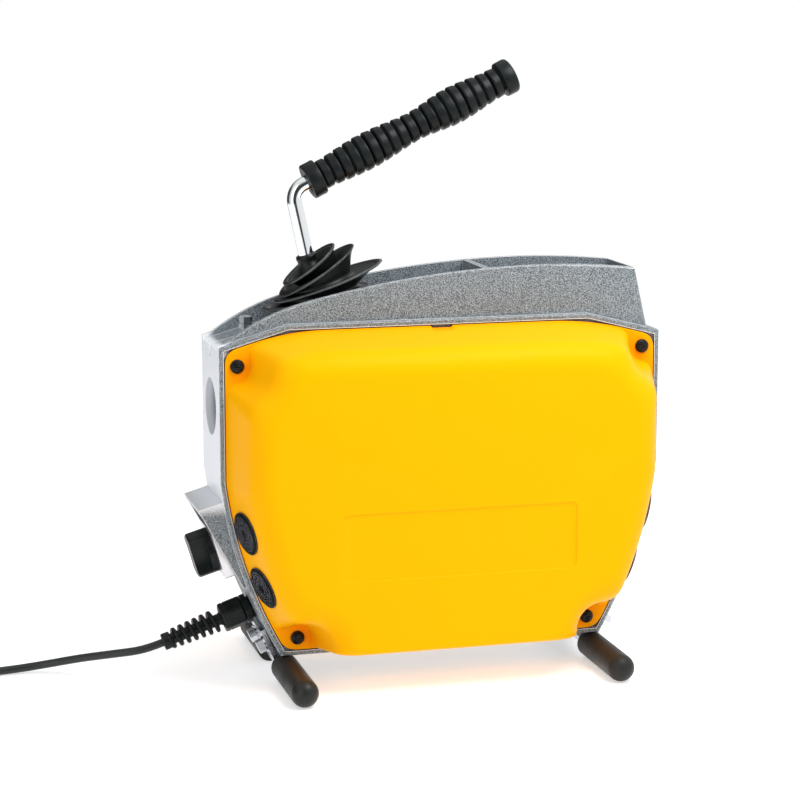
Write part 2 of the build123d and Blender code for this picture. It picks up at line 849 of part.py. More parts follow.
# front block fittings
def make_locking_screw():
    plane = Plane(origin=(-166, 0, deck_z(-166) + 9), x_dir=(1, 0, 0), z_dir=(0, 0, 1))
    tip = spindle_z + guide_bore_radius - plane.origin.Z
    shank = turned([(tip + 0.5, 0), (tip + 0.5, 3.0), (0.1, 3.0), (0.1, 0)], plane)
    return hex_head(plane, 10.0, 5.5) + shank


def make_locking_nut():
    slope = deck_plane(-166, 0.05)
    nut = hex_head(Plane(origin=(-166, 0, deck_z(-166) + 3.6), z_dir=(0, 0, 1)), 10.0, 5.0, 3.05)
    washer = turned([(0, 3.9), (0, 7.5), (1.6, 7.5), (1.6, 3.9)], slope)
    return Compound(children=[nut, washer])


save(make_locking_screw(), "locking_screw")
save(make_locking_nut(), "locking_nut")


# motor
def make_motor_frame():
    body = tube_x(motor_radius - 3, motor_radius - 6, -84.9, 64.9, z=motor_z)
    with BuildPart() as ribs:
        with BuildSketch(Plane(origin=(-80, 0, motor_z), z_dir=(1, 0, 0))):
            with PolarLocations(motor_radius - 2.5, 24):
                Rectangle(5, 2.4)
        extrude(amount=140)
    return body + (ribs.part - tube_x(motor_radius - 4, 0, -90, 70, z=motor_z))


def make_stator():
    core = tube_x(motor_radius - 6.02, 36.6, -55, 35, z=motor_z)
    windings = [tube_x(54, 41, low, low + 14, z=motor_z) for low in (-69.2, 35.2)]
    return Compound(children=[core, *windings])


def make_shield(x_low, seat_low):
    """Motor end shield with a bearing seat and air slots."""
    plate = tube_x(motor_radius, 9.0, x_low, x_low + 12, z=motor_z)
    plate = plate - tube_x(17.5, 0, seat_low, seat_low + 8, z=motor_z)
    with BuildPart() as slots:
        with BuildSketch(Plane(origin=(x_low - 1, 0, motor_z), z_dir=(1, 0, 0))):
            with PolarLocations(34, 8, start_angle=22.5):
                Rectangle(18, 8)
        extrude(amount=14)
    with BuildPart() as threads:
        with BuildSketch(Plane(origin=(x_low - 1, 0, motor_z), x_dir=(0, 1, 0), z_dir=(1, 0, 0))):
            with GridLocations(56, 84, 2, 2):
                Circle(3.02)
        extrude(amount=14)
    return plate - slots.part - threads.part


save(make_motor_frame(), "motor_frame")
save(make_stator(), "motor_stator")
save(make_shield(-96.9, -92.9), "motor_front_shield")
save(make_shield(64.9, 64.9), "motor_rear_shield")
motor_bearings = [
    tube_x(17.48, shaft_radius + running_gap, low, low + 7.9, z=motor_z)
    for low in (-92.85, 64.95)
]
save(Compound(children=motor_bearings), "motor_bearings")
rotor = tube_x(shaft_radius, 0, -116, 128, z=motor_z) + tube_x(36.0, shaft_radius - 1, -55, 35, z=motor_z)
save(rotor, "motor_rotor")


def make_fan():
    """Cooling fan on the motor's front end, with nine flat blades on a disc."""
    body = tube_x(14.0, shaft_radius, -115, -99, z=motor_z) + tube_x(50.0, shaft_radius, -102, -99, z=motor_z)
    with BuildPart() as blades:
        with BuildSketch(Plane(origin=(-114, 0, motor_z), z_dir=(1, 0, 0))):
            with PolarLocations(31, 9):
                Rectangle(36, 2.2)
        extrude(amount=13)
    return body + blades.part


def make_motor_screw(y, z):
    plane = Plane(origin=(85.05, y, z), x_dir=(0, 1, 0), z_dir=(1, 0, 0))
    return hex_head(plane, 10.0, 5.0) + turned([(-19, 0), (-19, 3.0), (0.1, 3.0), (0.1, 0)], plane)


save(make_fan(), "motor_fan")
motor_screws = [make_motor_screw(y, motor_z + z) for y in (-28, 28) for z in (-42, 42)]
save(Compound(children=motor_screws), "motor_screws")
capacitor_y = 58.0
capacitor_z = 188.5
save(tube_x(17.0, 0, -60, 12, capacitor_y, capacitor_z), "run_capacitor")


def make_capacitor_clip():
    """Band round the capacitor with a foot that reaches down to the motor."""
    way = Vector(0, capacitor_y, capacitor_z - motor_z)
    distance = way.length
    plane = Plane(origin=(-24, 0, motor_z), x_dir=(1, 0, 0), z_dir=way.normalized())
    with BuildPart() as foot:
        with BuildSketch(plane.offset(motor_radius + 0.1)):
            Rectangle(12, 10)
        extrude(amount=distance - motor_radius - 17.6)
    return foot.part + tube_x(18.8, 17.05, -30, -18, capacitor_y, capacitor_z)


save(make_capacitor_clip(), "capacitor_clip")


# switch
def make_switch_plate():
    with BuildPart() as plate:
        with BuildSketch(switch_plane(-8.0)):
            RectangleRounded(58, 43, 2)
            Circle(5.0, mode=Mode.SUBTRACT)
        extrude(amount=8)
    return plate.part


def make_switch_body():
    with BuildPart() as body:
        with BuildSketch(switch_plane(-8.1)):
            Rectangle(33, 33)
        extrude(amount=-30)
        for offset in (-10, 0, 10):
            with BuildSketch(switch_plane(-38.1)):
                with Locations((offset, 0)):
                    Rectangle(3, 20)
            extrude(amount=-6)
    return body.part


def make_knob():
    """Rotary knob: round skirt with a grip bar, and its spindle stub."""
    with BuildPart() as knob:
        with BuildSketch(switch_plane(0.4)):
            Circle(knob_radius)
        extrude(amount=knob_depth)
        outer_face = knob.faces().sort_by(lambda f: f.center().dot(switch_plane().z_dir))[-1]
        fillet(outer_face.edges(), radius=2.5)
        for side in (-1, 1):
            with BuildSketch(switch_plane(6.0)):
                with Locations((side * 23, 0)):
                    Ellipse(13.5, 24)
            extrude(amount=20, mode=Mode.SUBTRACT)
        with BuildSketch(switch_plane(-7.8)):
            Circle(4.9)
        extrude(amount=8.4)
    return knob.part


save(make_switch_plate(), "switch_plate")
save(make_switch_body(), "switch_body")
save(make_knob(), "switch_knob")


# cable gland, cord and plug
gland_body = turned(
    [(-24, 6), (-24, 10), (4.2, 10), (4.2, 13), (8.8, 13), (8.8, 10), (19.5, 10), (19.5, 6)], gland_plane()
)
save(gland_body, "gland_body")
save(hex_head(gland_plane(-23.8), 26.0, 4.8, 10.05), "gland_lock_nut")
nut = hex_head(gland_plane(9.2), 24.0, 20.6) - turned([(9, 0), (9, 10.1), (20, 10.1), (20, 0)], gland_plane())
nut = nut - turned([(19, 0), (19, 6.2), (31, 6.2), (31, 0)], gland_plane())
save(nut, "gland_nut")


def make_strain_relief():
    """Coiled bend guard: six rings on a slender core, ending in a collar."""
    profile = [(20.2, 0), (20.2, 6.0), (31.4, 6.0)]
    for ring in range(6):
        start = 31.5 + ring * 7.6
        radius = 10.6 - ring * 0.35
        profile += [(start, radius), (start + 4.2, radius), (start + 4.3, 5.6), (start + 7.5, 5.6)]
    profile += [(77.2, 7.4), (gland_exit, 7.0), (gland_exit, 0)]
    return turned(profile, gland_plane())


save(make_strain_relief(), "strain_relief")

exit_plane = gland_plane(gland_exit)
cord_height = cord_diameter / 2
turn_radius = coil_mid_radius + cord_diameter
cord_route = [
    (exit_plane.origin.X, 0.0, exit_plane.origin.Z),
    (-259.0, 0.0, 27.85),
    (-282.0, 8.5, 24.0),
    (-311.5, 28.0, 16.5),
    (-336.5, 45.0, 8.5),
    (-362.0, 51.0, 4.2),
    (-400.0, 47.0, 3.5),
    (-430.0, 49.5, 3.5),
    (coil_centre[0], coil_centre[1] - turn_radius, cord_height),
]
coil_top_z = coil_rows * cord_diameter - cord_height
tail_route = [
    (coil_centre[0], coil_centre[1] + turn_radius, coil_top_z),
    (coil_centre[0] + 15.0, coil_centre[1] + turn_radius + 0.8, 24.3),
    (coil_centre[0] + 31.0, coil_centre[1] + turn_radius + 5.5, 20.5),
    (coil_centre[0] + 42.5, coil_centre[1] + turn_radius + 15.5, 15.0),
    (coil_centre[0] + 48.0, coil_centre[1] + turn_radius + 27.5, 12.0),
]


def corner_radii(route):
    """Radius at each corner: 0.45 of the shorter run over the tangent of half the turn."""
    points = [Vector(*point) for point in route]
    radii = []
    for before, here, after in zip(points, points[1:], points[2:]):
        turn = (here - before).get_angle(after - here)
        shorter = min((here - before).length, (after - here).length)
        radii.append(0.45 * shorter / tan(radians(turn / 2)))
    return radii


def make_cord(route):
    radii = corner_radii(route)
    print("cord corner radii", [round(radius, 1) for radius in radii])
    with BuildPart() as cord:
        with BuildLine() as path:
            FilletPolyline(*route, radius=radii)
        with BuildSketch(Plane(origin=route[0], z_dir=path.line % 0)):
            Circle(cord_diameter / 2)
        sweep()
    length = sum(edge.length for edge in path.edges())
    section = pi * (cord_diameter / 2) ** 2
    print("cord length", round(length, 1), "volume ratio", round(cord.part.volume / (section * length), 4))
    return cord.part


def make_coil():
    """Outer shape of the wound cord: three turns wide and coil_rows turns high."""
    inner = coil_mid_radius - 1.5 * cord_diameter
    outer = coil_mid_radius + 1.5 * cord_diameter
    height = coil_rows * cord_diameter
    with BuildPart() as coil:
        with BuildSketch(Plane(origin=(*coil_centre, 0), x_dir=(1, 0, 0), z_dir=(0, -1, 0))):
            with Locations(((inner + outer) / 2, height / 2)):
                RectangleRounded(outer - inner, height, 3.4)
        revolve(axis=Axis((*coil_centre, 0), (0, 0, 1)))
    return coil.part


def make_plug():
    """Two-pin mains plug lying on the floor, its pins pointing away from the cord."""
    start = Vector(*tail_route[-1])
    way = Vector(0.36, 0.93, 0).normalized()
    plane = Plane(origin=start, x_dir=(0, 0, 1), z_dir=way)
    body = turned([(0, 0), (0, 6.0), (6, 8.5), (14, 11.0), (34, 11.3), (38, 10.5), (38, 0)], plane)
    with BuildPart() as pins:
        with BuildSketch(plane.offset(37.5)):
            with Locations((0, 9.5), (0, -9.5)):
                Circle(2.3)
        extrude(amount=19.5)
    return body + pins.part


save(make_cord(cord_route), "power_cord")
save(make_coil(), "cord_coil")
save(make_cord(tail_route), "cord_tail")
save(make_plug(), "plug")


# feet
def make_foot_bar(sign):
    """Round bar across the machine, welded to a plate that bolts on the lower slope."""
    bar = tube_y(foot_rod_radius, 0, -foot_rod_half, foot_rod_half, sign * foot_x, foot_z)
    with BuildPart() as plate:
        with BuildSketch(lower_slope_plane(sign, 5.0, 0.9)):
            Rectangle(54, 38)
        extrude(amount=4)
        with BuildSketch(lower_slope_plane(sign, 9.0, 0.0)):
            with Locations((18, 0), (-18, 0)):
                Circle(3.3)
        extrude(amount=6, mode=Mode.SUBTRACT)
    return bar + plate.part


def make_foot_cap(sign, side):
    """Long rubber cap with a domed end, pushed over the bar."""
    straight = cap_outer - cap_radius
    with BuildPart() as cap:
        with BuildSketch(Plane(origin=(sign * foot_x, 0, foot_z), x_dir=(0, side, 0), z_dir=(sign, 0, 0))):
            with BuildLine():
                edge = Line((cap_inner, foot_rod_radius + 0.05), (cap_inner, cap_radius))
                body = Line(edge @ 1, (straight, cap_radius))
                dome = RadiusArc(body @ 1, (cap_outer, 0), cap_radius)
                seat = foot_rod_half + 0.1
                Polyline(dome @ 1, (seat, 0), (seat, foot_rod_radius + 0.05), edge @ 0)
            make_face()
        revolve(axis=Axis((sign * foot_x, 0, foot_z), (0, 1, 0)))
    return cap.part


def make_foot_bolts(sign):
    pieces = []
    for y in (-18, 18):
        base = lower_slope_plane(sign, 9.0, 4.95)
        plane = Plane(origin=(base.origin.X, y, base.origin.Z), x_dir=(0, 1, 0), z_dir=base.z_dir)
        pieces.append(turned([(0, 3.2), (0, 7.5), (1.6, 7.5), (1.6, 3.2)], plane))
        bolt = hex_head(plane.offset(1.7), 11.0, 6.0)
        pieces.append(bolt + turned([(-19, 0), (-19, 3.0), (1.8, 3.0), (1.8, 0)], plane))
    return pieces


save(make_foot_bar(-1), "front_foot_bar")
save(make_foot_bar(1), "rear_foot_bar")
for end_name, sign in (("front", -1), ("rear", 1)):
    for side_name, side in (("near", -1), ("far", 1)):
        save(make_foot_cap(sign, side), f"{end_name}_{side_name}_foot_cap")
save(Compound(children=make_foot_bolts(-1) + make_foot_bolts(1)), "foot_bolts")
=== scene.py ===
import json
import math

import bpy
import mathutils
import numpy as np
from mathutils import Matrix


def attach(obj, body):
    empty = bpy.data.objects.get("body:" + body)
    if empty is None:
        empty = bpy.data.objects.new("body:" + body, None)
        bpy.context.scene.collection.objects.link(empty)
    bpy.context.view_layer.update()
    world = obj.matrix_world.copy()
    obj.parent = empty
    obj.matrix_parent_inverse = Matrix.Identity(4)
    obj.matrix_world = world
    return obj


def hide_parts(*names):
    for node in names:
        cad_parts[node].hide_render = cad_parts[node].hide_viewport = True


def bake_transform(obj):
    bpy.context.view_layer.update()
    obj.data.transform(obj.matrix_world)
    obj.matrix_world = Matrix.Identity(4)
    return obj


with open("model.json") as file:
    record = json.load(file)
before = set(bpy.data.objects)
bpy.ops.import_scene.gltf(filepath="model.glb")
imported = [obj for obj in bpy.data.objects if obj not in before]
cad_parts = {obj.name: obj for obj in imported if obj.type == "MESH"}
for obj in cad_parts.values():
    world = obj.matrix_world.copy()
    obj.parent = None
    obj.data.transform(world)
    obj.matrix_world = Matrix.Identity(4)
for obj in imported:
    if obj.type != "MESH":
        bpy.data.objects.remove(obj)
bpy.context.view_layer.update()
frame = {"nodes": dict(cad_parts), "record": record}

nodes = frame["nodes"]
originShift = 12.06  # mm from the model's origin back to the middle of the side covers


def place(x, y, z):  # millimetres about the covers' middle, to metres in the model's frame
    return ((x + originShift) / 1000, y / 1000, z / 1000)


def placeAll(points):  # the same for a whole array of points
    return (np.asarray(points, float) + (originShift, 0, 0)) / 1000


def addObject(name, data):
    item = bpy.data.objects.new(name, data)
    bpy.context.scene.collection.objects.link(item)
    return item


# Camera comes first
cameraView = {"place": (-0.52911, -1.89434, 0.59318), "down": 10.258, "turn": -15.135, "lens": 101.99}
cameraData = bpy.data.cameras.new("studioCamera")
cameraData.lens = cameraView["lens"]
cameraData.sensor_width = 36.0
cameraData.clip_start, cameraData.clip_end = 0.05, 50.0
camera = addObject("studioCamera", cameraData)
camera.location = cameraView["place"]
camera.rotation_euler = (math.radians(90 - cameraView["down"]), 0, math.radians(cameraView["turn"]))
bpy.context.scene.camera = camera
print("camera set")


# Shader groups shared by the materials
def newNode(tree, kind, values=None, **settings):
    node = tree.nodes.new("ShaderNode" + kind)
    for name, value in settings.items():
        setattr(node, name, value)
    for socket, value in (values or {}).items():
        node.inputs[socket].default_value = value
    return node


def wire(tree, start, startSocket, end, endSocket):
    tree.links.new(start.outputs[startSocket], end.inputs[endSocket])


def multiplied(tree, first, firstSocket, second, secondSocket):
    product = newNode(tree, "Math", operation="MULTIPLY")
    wire(tree, first, firstSocket, product, 0)
    wire(tree, second, secondSocket, product, 1)
    return product


def newGroup(name, inputs, outputs):  # inputs: {name: value}, outputs: names of number sockets
    tree = bpy.data.node_groups.new(name, "ShaderNodeTree")
    for socketName, value in inputs.items():
        socket = tree.interface.new_socket(name=socketName, in_out="INPUT", socket_type="NodeSocketFloat")
        socket.default_value = value
    for socketName in outputs:
        tree.interface.new_socket(name=socketName, in_out="OUTPUT", socket_type="NodeSocketFloat")
    return tree, tree.nodes.new("NodeGroupInput"), tree.nodes.new("NodeGroupOutput")


def mapRange(tree, source, socket, low, high, toLow=0.0, toHigh=1.0):
    values = {"From Min": low, "From Max": high, "To Min": toLow, "To Max": toHigh}
    mapped = newNode(tree, "MapRange", values, clamp=True, interpolation_type="SMOOTHSTEP")
    wire(tree, source, socket, mapped, "Value")
    return mapped


def placeTexture(tree, node, socket="Object"):  # the node reads the object's own coordinates
    wire(tree, newNode(tree, "TexCoord"), socket, node, "Vector")


# The finer noise's scale, how much cells and noise weigh, and where speckles begin and are full
hammerMix = {"finer": 1.7, "cells": 0.62, "noise": 0.55, "begin": 0.44, "full": 0.62}


def makeHammerGroup():  # round flat dimples with paler rims: smooth cells, broken up by a finer noise
    tree, given, made = newGroup("hammerPaint", {"Scale": 640.0}, ["Speckle", "Height"])
    cells = newNode(tree, "TexVoronoi", {"Smoothness": 0.5, "Randomness": 1.0}, feature="SMOOTH_F1")
    noise = newNode(tree, "TexNoise", {"Detail": 3.0, "Roughness": 0.6})
    finer = newNode(tree, "Math", {1: hammerMix["finer"]}, operation="MULTIPLY")
    wire(tree, given, "Scale", cells, "Scale")
    wire(tree, given, "Scale", finer, 0)
    wire(tree, finer, 0, noise, "Scale")
    for texture in (cells, noise):
        placeTexture(tree, texture)
    both = newNode(tree, "Math", {1: hammerMix["cells"]}, operation="MULTIPLY_ADD")
    wire(tree, cells, "Distance", both, 0)
    share = newNode(tree, "Math", {1: hammerMix["noise"]}, operation="MULTIPLY")
    wire(tree, noise, "Fac", share, 0)
    wire(tree, share, 0, both, 2)
    speckle = mapRange(tree, both, 0, hammerMix["begin"], hammerMix["full"])
    wire(tree, speckle, "Result", made, "Speckle")
    wire(tree, both, 0, made, "Height")
    return tree


def makeEdgeGroup():  # 1 where the surface turns sharply, 0 on flats, patchy along the edge: the mask for edge wear and painted highlight
    tree, given, made = newGroup(
        "edgeWearAndHighlightMask", {"Patch": 90.0, "Start": 0.99, "Full": 0.9, "Radius": 0.0008, "Least": 0.25}, ["Edge"]
    )
    rounded = newNode(tree, "Bevel", samples=6)
    wire(tree, given, "Radius", rounded, "Radius")
    shape = newNode(tree, "NewGeometry")
    turn = newNode(tree, "VectorMath", operation="DOT_PRODUCT")
    wire(tree, rounded, "Normal", turn, 0)
    wire(tree, shape, "Normal", turn, 1)
    mask = newNode(tree, "MapRange", clamp=True)
    wire(tree, turn, "Value", mask, "Value")
    wire(tree, given, "Start", mask, "From Min")
    wire(tree, given, "Full", mask, "From Max")
    patches = newNode(tree, "TexNoise", {"Detail": 3.0})
    placeTexture(tree, patches)
    wire(tree, given, "Patch", patches, "Scale")
    soft = mapRange(tree, patches, "Fac", 0.3, 0.55)
    wire(tree, given, "Least", soft, "To Min")
    wire(tree, multiplied(tree, mask, "Result", soft, "Result"), 0, made, "Edge")
    return tree


def makeGrainGroup():  # fine even grain for a bump, and slow cloudy mottling for colour and gloss
    tree, given, made = newGroup("mouldGrain", {"Grain": 1500.0, "Mottle": 30.0}, ["Height", "Mottle"])
    for scale, detail, rough, outlet in (("Grain", 2.0, 0.5, "Height"), ("Mottle", 5.0, 0.6, "Mottle")):
        texture = newNode(tree, "TexNoise", {"Detail": detail, "Roughness": rough})
        placeTexture(tree, texture)
        wire(tree, given, scale, texture, "Scale")
        wire(tree, texture, "Fac", made, outlet)
    return tree


def makeRecessGroup():  # painted shade: 1 deep in corners and gaps, 0 in the open
    tree, given, made = newGroup("recessShade", {"Reach": 0.004, "Start": 0.75, "Full": 0.25}, ["Recess"])
    shade = newNode(tree, "AmbientOcclusion", samples=8, only_local=False)
    wire(tree, given, "Reach", shade, "Distance")
    mask = newNode(tree, "MapRange", clamp=True, interpolation_type="SMOOTHSTEP")
    wire(tree, shade, "AO", mask, "Value")
    wire(tree, given, "Start", mask, "From Min")
    wire(tree, given, "Full", mask, "From Max")
    wire(tree, mask, "Result", made, "Recess")
    return tree


def makeDustGroup():  # thin dust on what faces up, thicker in patches
    tree, given, made = newGroup("dustFilm", {"Patch": 60.0}, ["Dust"])
    shape = newNode(tree, "NewGeometry")
    parts = newNode(tree, "SeparateXYZ")
    wire(tree, shape, "Normal", parts, "Vector")
    up = mapRange(tree, parts, "Z", 0.35, 1.0)
    clouds = newNode(tree, "TexNoise", {"Detail": 6.0, "Roughness": 0.7})
    placeTexture(tree, clouds)
    wire(tree, given, "Patch", clouds, "Scale")
    spread = mapRange(tree, clouds, "Fac", 0.35, 0.75)
    wire(tree, multiplied(tree, up, "Result", spread, "Result"), 0, made, "Dust")
    return tree


groups = {
    "hammer": makeHammerGroup(), "edge": makeEdgeGroup(), "grain": makeGrainGroup(),
    "recess": makeRecessGroup(), "dust": makeDustGroup(),
}


def addGroup(tree, name, **values):
    node = newNode(tree, "Group")
    node.node_tree = groups[name]
    for socket, value in values.items():
        node.inputs[socket].default_value = value
    return node


def mixColour(tree, factor, factorSocket, first, second, strength=1.0):
    # first and second are each a colour or a (node, socket) pair; strength scales the factor
    mix = newNode(tree, "Mix", data_type="RGBA")
    amount = newNode(tree, "Math", {1: strength}, operation="MULTIPLY")
    wire(tree, factor, factorSocket, amount, 0)
    wire(tree, amount, 0, mix, 0)
    for index, source in ((6, first), (7, second)):
        if isinstance(source[0], (int, float)):
            mix.inputs[index].default_value = (*source, 1)
        else:
            tree.links.new(source[0].outputs[source[1]], mix.inputs[index])
    return mix


def newMaterial(name, metal=0.0, specular=0.5, tint=(1, 1, 1)):
    material = bpy.data.materials.new(name)
    material.use_nodes = True
    shader = material.node_tree.nodes["Principled BSDF"]
    shader.inputs["Metallic"].default_value = metal
    shader.inputs["Specular IOR Level"].default_value = specular
    shader.inputs["Specular Tint"].default_value = (*tint, 1)
    return material, material.node_tree, shader


dustColour = (0.45, 0.43, 0.4)
mottleSpan = (0.3, 0.7)  # the part of the mottling over which the gloss changes
edgeSpan = 0.09  # from where edge wear starts to where it is full

# What a finish has unless it says otherwise: the pale edge's radius, least strength and start (wear, and
# painted highlight on some finishes), and each recess of painted shade as its reach, open value, deep value,
# colour and amount
plainFinish = dict(
    metal=0.0, specular=0.5, tint=(1, 1, 1), dust=0.0, edge=0.0008, least=0.25, start=0.99, recesses=(),
)

# One finish for each material: base colour, cloudy second colour, roughness range, grain, and pale edges for
# wear and painted highlight
finishes = {
    "coverYellow": dict(
        colour=(0.95, 0.425, 0.001), cloud=(0.95, 0.445, 0.0012), rough=(0.32, 0.4),
        grain=1500.0, depth=0.00001,
        wearAndHighlightColour=(1.0, 0.66, 0.03), wearAndHighlightAmount=0.45, specular=0.06, tint=(1.0, 0.82, 0.3),
        # painted shade: a deeper orange on the rim and pad floors near the middle plane, for the light
        # bounced off the yellow walls
        low=(0.0425, 0.0412, (0.95, 0.34, 0.0008), 0.8),
        # painted shade: deeper orange in the pads and hollows, dark brown in the narrow gaps
        recesses=[
            (0.03, 0.85, 0.35, (0.95, 0.27, 0.0005), 0.8),
            (0.0035, 0.62, 0.3, (0.07, 0.012, 0.004), 0.95),
        ],
    ),
    "blackMoulding": dict(
        colour=(0.0045, 0.0068, 0.0066), cloud=(0.008, 0.011, 0.0108), rough=(0.28, 0.42),
        grain=1900.0, depth=0.00004,
        wearAndHighlightColour=(0.08, 0.095, 0.095), wearAndHighlightAmount=0.35, specular=0.2,
        recesses=[(0.004, 0.7, 0.3, (0.001, 0.001, 0.001), 0.7)],
    ),
    "ventBlack": dict(
        colour=(0.004, 0.0045, 0.005), cloud=(0.007, 0.008, 0.009), rough=(0.16, 0.3),
        grain=1700.0, depth=0.00001,
        # painted highlight: pale rings along the vents' bevelled rims, where they catch the light
        wearAndHighlightColour=(0.62, 0.65, 0.75), wearAndHighlightAmount=0.95, specular=0.03, edge=0.00045, least=0.9, start=0.93,
        recesses=[(0.0015, 0.6, 0.3, (0.0005, 0.0005, 0.0005), 0.9)],
    ),
    "capRubber": dict(
        colour=(0.013, 0.015, 0.0148), cloud=(0.024, 0.0235, 0.021), rough=(0.34, 0.55),
        grain=1300.0, depth=0.00005,
        wearAndHighlightColour=(0.06, 0.06, 0.06), wearAndHighlightAmount=0.3, dust=0.02, specular=0.22,
    ),
    "gripRubber": dict(
        colour=(0.005, 0.0065, 0.0068), cloud=(0.009, 0.0115, 0.012), rough=(0.3, 0.42),
        grain=1500.0, depth=0.00005,
        wearAndHighlightColour=(0.07, 0.08, 0.085), wearAndHighlightAmount=0.3, specular=0.16,
        recesses=[(0.003, 0.7, 0.3, (0.0005, 0.0005, 0.0005), 0.8)],
    ),
    "bootRubber": dict(
        colour=(0.003, 0.0045, 0.0045), cloud=(0.007, 0.009, 0.009), rough=(0.3, 0.42),
        grain=1100.0, depth=0.00004,
        # painted highlight: thin pale lines along the boot's rims, where they catch the light
        wearAndHighlightColour=(0.25, 0.27, 0.27), wearAndHighlightAmount=0.75, specular=0.22, edge=0.0014, least=0.6,
        recesses=[(0.012, 0.75, 0.25, (0.0005, 0.0005, 0.0005), 0.9)],
    ),
    "cordSheath": dict(
        colour=(0.009, 0.0115, 0.0115), cloud=(0.015, 0.018, 0.018), rough=(0.3, 0.42),
        grain=2200.0, depth=0.00002,
        wearAndHighlightColour=(0.05, 0.05, 0.05), wearAndHighlightAmount=0.2, dust=0.02, specular=0.4,
    ),
    "tieWebbing": dict(
        colour=(0.012, 0.013, 0.0135), cloud=(0.025, 0.026, 0.028), rough=(0.7, 0.9),
        grain=2600.0, depth=0.0001,
        wearAndHighlightColour=(0.05, 0.05, 0.05), wearAndHighlightAmount=0.2, dust=0.04, specular=0.2,
    ),
    "blackScrew": dict(
        colour=(0.006, 0.006, 0.006), cloud=(0.012, 0.011, 0.011), rough=(0.2, 0.34),
        grain=2500.0, depth=0.00001,
        wearAndHighlightColour=(0.3, 0.3, 0.32), wearAndHighlightAmount=0.5, specular=0.15, edge=0.0003,
        recesses=[(0.002, 0.8, 0.4, (0.0005, 0.0005, 0.0005), 0.9)],
    ),
    "zincPlate": dict(
        colour=(0.86, 0.89, 0.94), cloud=(0.6, 0.63, 0.68), rough=(0.16, 0.34), grain=500.0, depth=0.00003,
        wearAndHighlightColour=(0.95, 0.96, 0.98), wearAndHighlightAmount=0.6, metal=1.0,
        recesses=[(0.006, 0.6, 0.15, (0.04, 0.042, 0.045), 0.85)],
    ),
    "chromeRod": dict(
        colour=(0.86, 0.89, 0.9), cloud=(0.78, 0.82, 0.84), rough=(0.06, 0.12), grain=900.0, depth=0.000003,
        wearAndHighlightColour=(0.9, 0.91, 0.92), wearAndHighlightAmount=0.3, metal=1.0,
    ),
    "groundSteel": dict(
        colour=(0.55, 0.55, 0.56), cloud=(0.42, 0.42, 0.44), rough=(0.25, 0.42),
        grain=1200.0, depth=0.00002,
        wearAndHighlightColour=(0.75, 0.75, 0.76), wearAndHighlightAmount=0.5, metal=1.0,
        recesses=[(0.006, 0.7, 0.2, (0.05, 0.05, 0.05), 0.8)],
    ),
    "bareAluminium": dict(
        colour=(0.78, 0.78, 0.8), cloud=(0.68, 0.68, 0.71), rough=(0.3, 0.45), grain=1400.0, depth=0.00002,
        wearAndHighlightColour=(0.9, 0.9, 0.91), wearAndHighlightAmount=0.4, metal=1.0,
        recesses=[(0.006, 0.7, 0.2, (0.08, 0.08, 0.08), 0.8)],
    ),
    "paleNylon": dict(
        colour=(0.7, 0.69, 0.64), cloud=(0.62, 0.61, 0.56), rough=(0.4, 0.55), grain=1500.0, depth=0.00003,
        wearAndHighlightColour=(0.8, 0.79, 0.75), wearAndHighlightAmount=0.3, dust=0.05, specular=0.5,
    ),
}


def shadeRecesses(tree, last, recesses):  # painted shade: darkens the colour in corners and gaps, one recess after another
    for reach, start, full, colour, amount in recesses:
        recess = addGroup(tree, "recess", Reach=reach, Start=start, Full=full)
        last = mixColour(tree, recess, "Recess", (last, 2), colour, amount)
    return last


def nearMiddle(tree, axes, far, near):  # 0 as far from the middle plane as far, 1 as close as near
    side = newNode(tree, "Math", operation="ABSOLUTE")
    wire(tree, axes, "Y", side, 0)
    return mapRange(tree, side, 0, far, near)


def paintShadeNearMiddle(tree, last, far, near, colour, amount):  # painted shade: a deeper colour close to the middle plane, for the light bounced off the cover's yellow walls
    axes = newNode(tree, "SeparateXYZ")
    placeTexture(tree, axes)
    return mixColour(tree, nearMiddle(tree, axes, far, near), "Result", (last, 2), colour, amount)


def makeFinish(name):
    # Clouded colour, paler at edges (wear, and painted highlight on the vents and boot rims), dusted, darker
    # in gaps as painted shade; gloss and bump come from the same grain
    finish = {**plainFinish, **finishes[name]}
    material, tree, shader = newMaterial(name, finish["metal"], finish["specular"], finish["tint"])
    grain = addGroup(tree, "grain", Grain=finish["grain"])
    edge = addGroup(
        tree, "edge", Radius=finish["edge"], Least=finish["least"], Start=finish["start"],
        Full=finish["start"] - edgeSpan,
    )
    clouded = mixColour(tree, grain, "Mottle", finish["colour"], finish["cloud"])
    last = mixColour(tree, edge, "Edge", (clouded, 2), finish["wearAndHighlightColour"], finish["wearAndHighlightAmount"])
    if finish["dust"] > 0:
        dust = addGroup(tree, "dust")
        last = mixColour(tree, dust, "Dust", (last, 2), dustColour, finish["dust"])
    if "low" in finish:
        last = paintShadeNearMiddle(tree, last, *finish["low"])
    last = shadeRecesses(tree, last, finish["recesses"])
    wire(tree, last, 2, shader, "Base Color")
    gloss = mapRange(tree, grain, "Mottle", *mottleSpan, *finish["rough"])
    wire(tree, gloss, "Result", shader, "Roughness")
    bump = newNode(tree, "Bump", {"Strength": 1.0, "Distance": finish["depth"]})
    wire(tree, grain, "Height", bump, "Height")
    wire(tree, bump, "Normal", shader, "Normal")
    return material


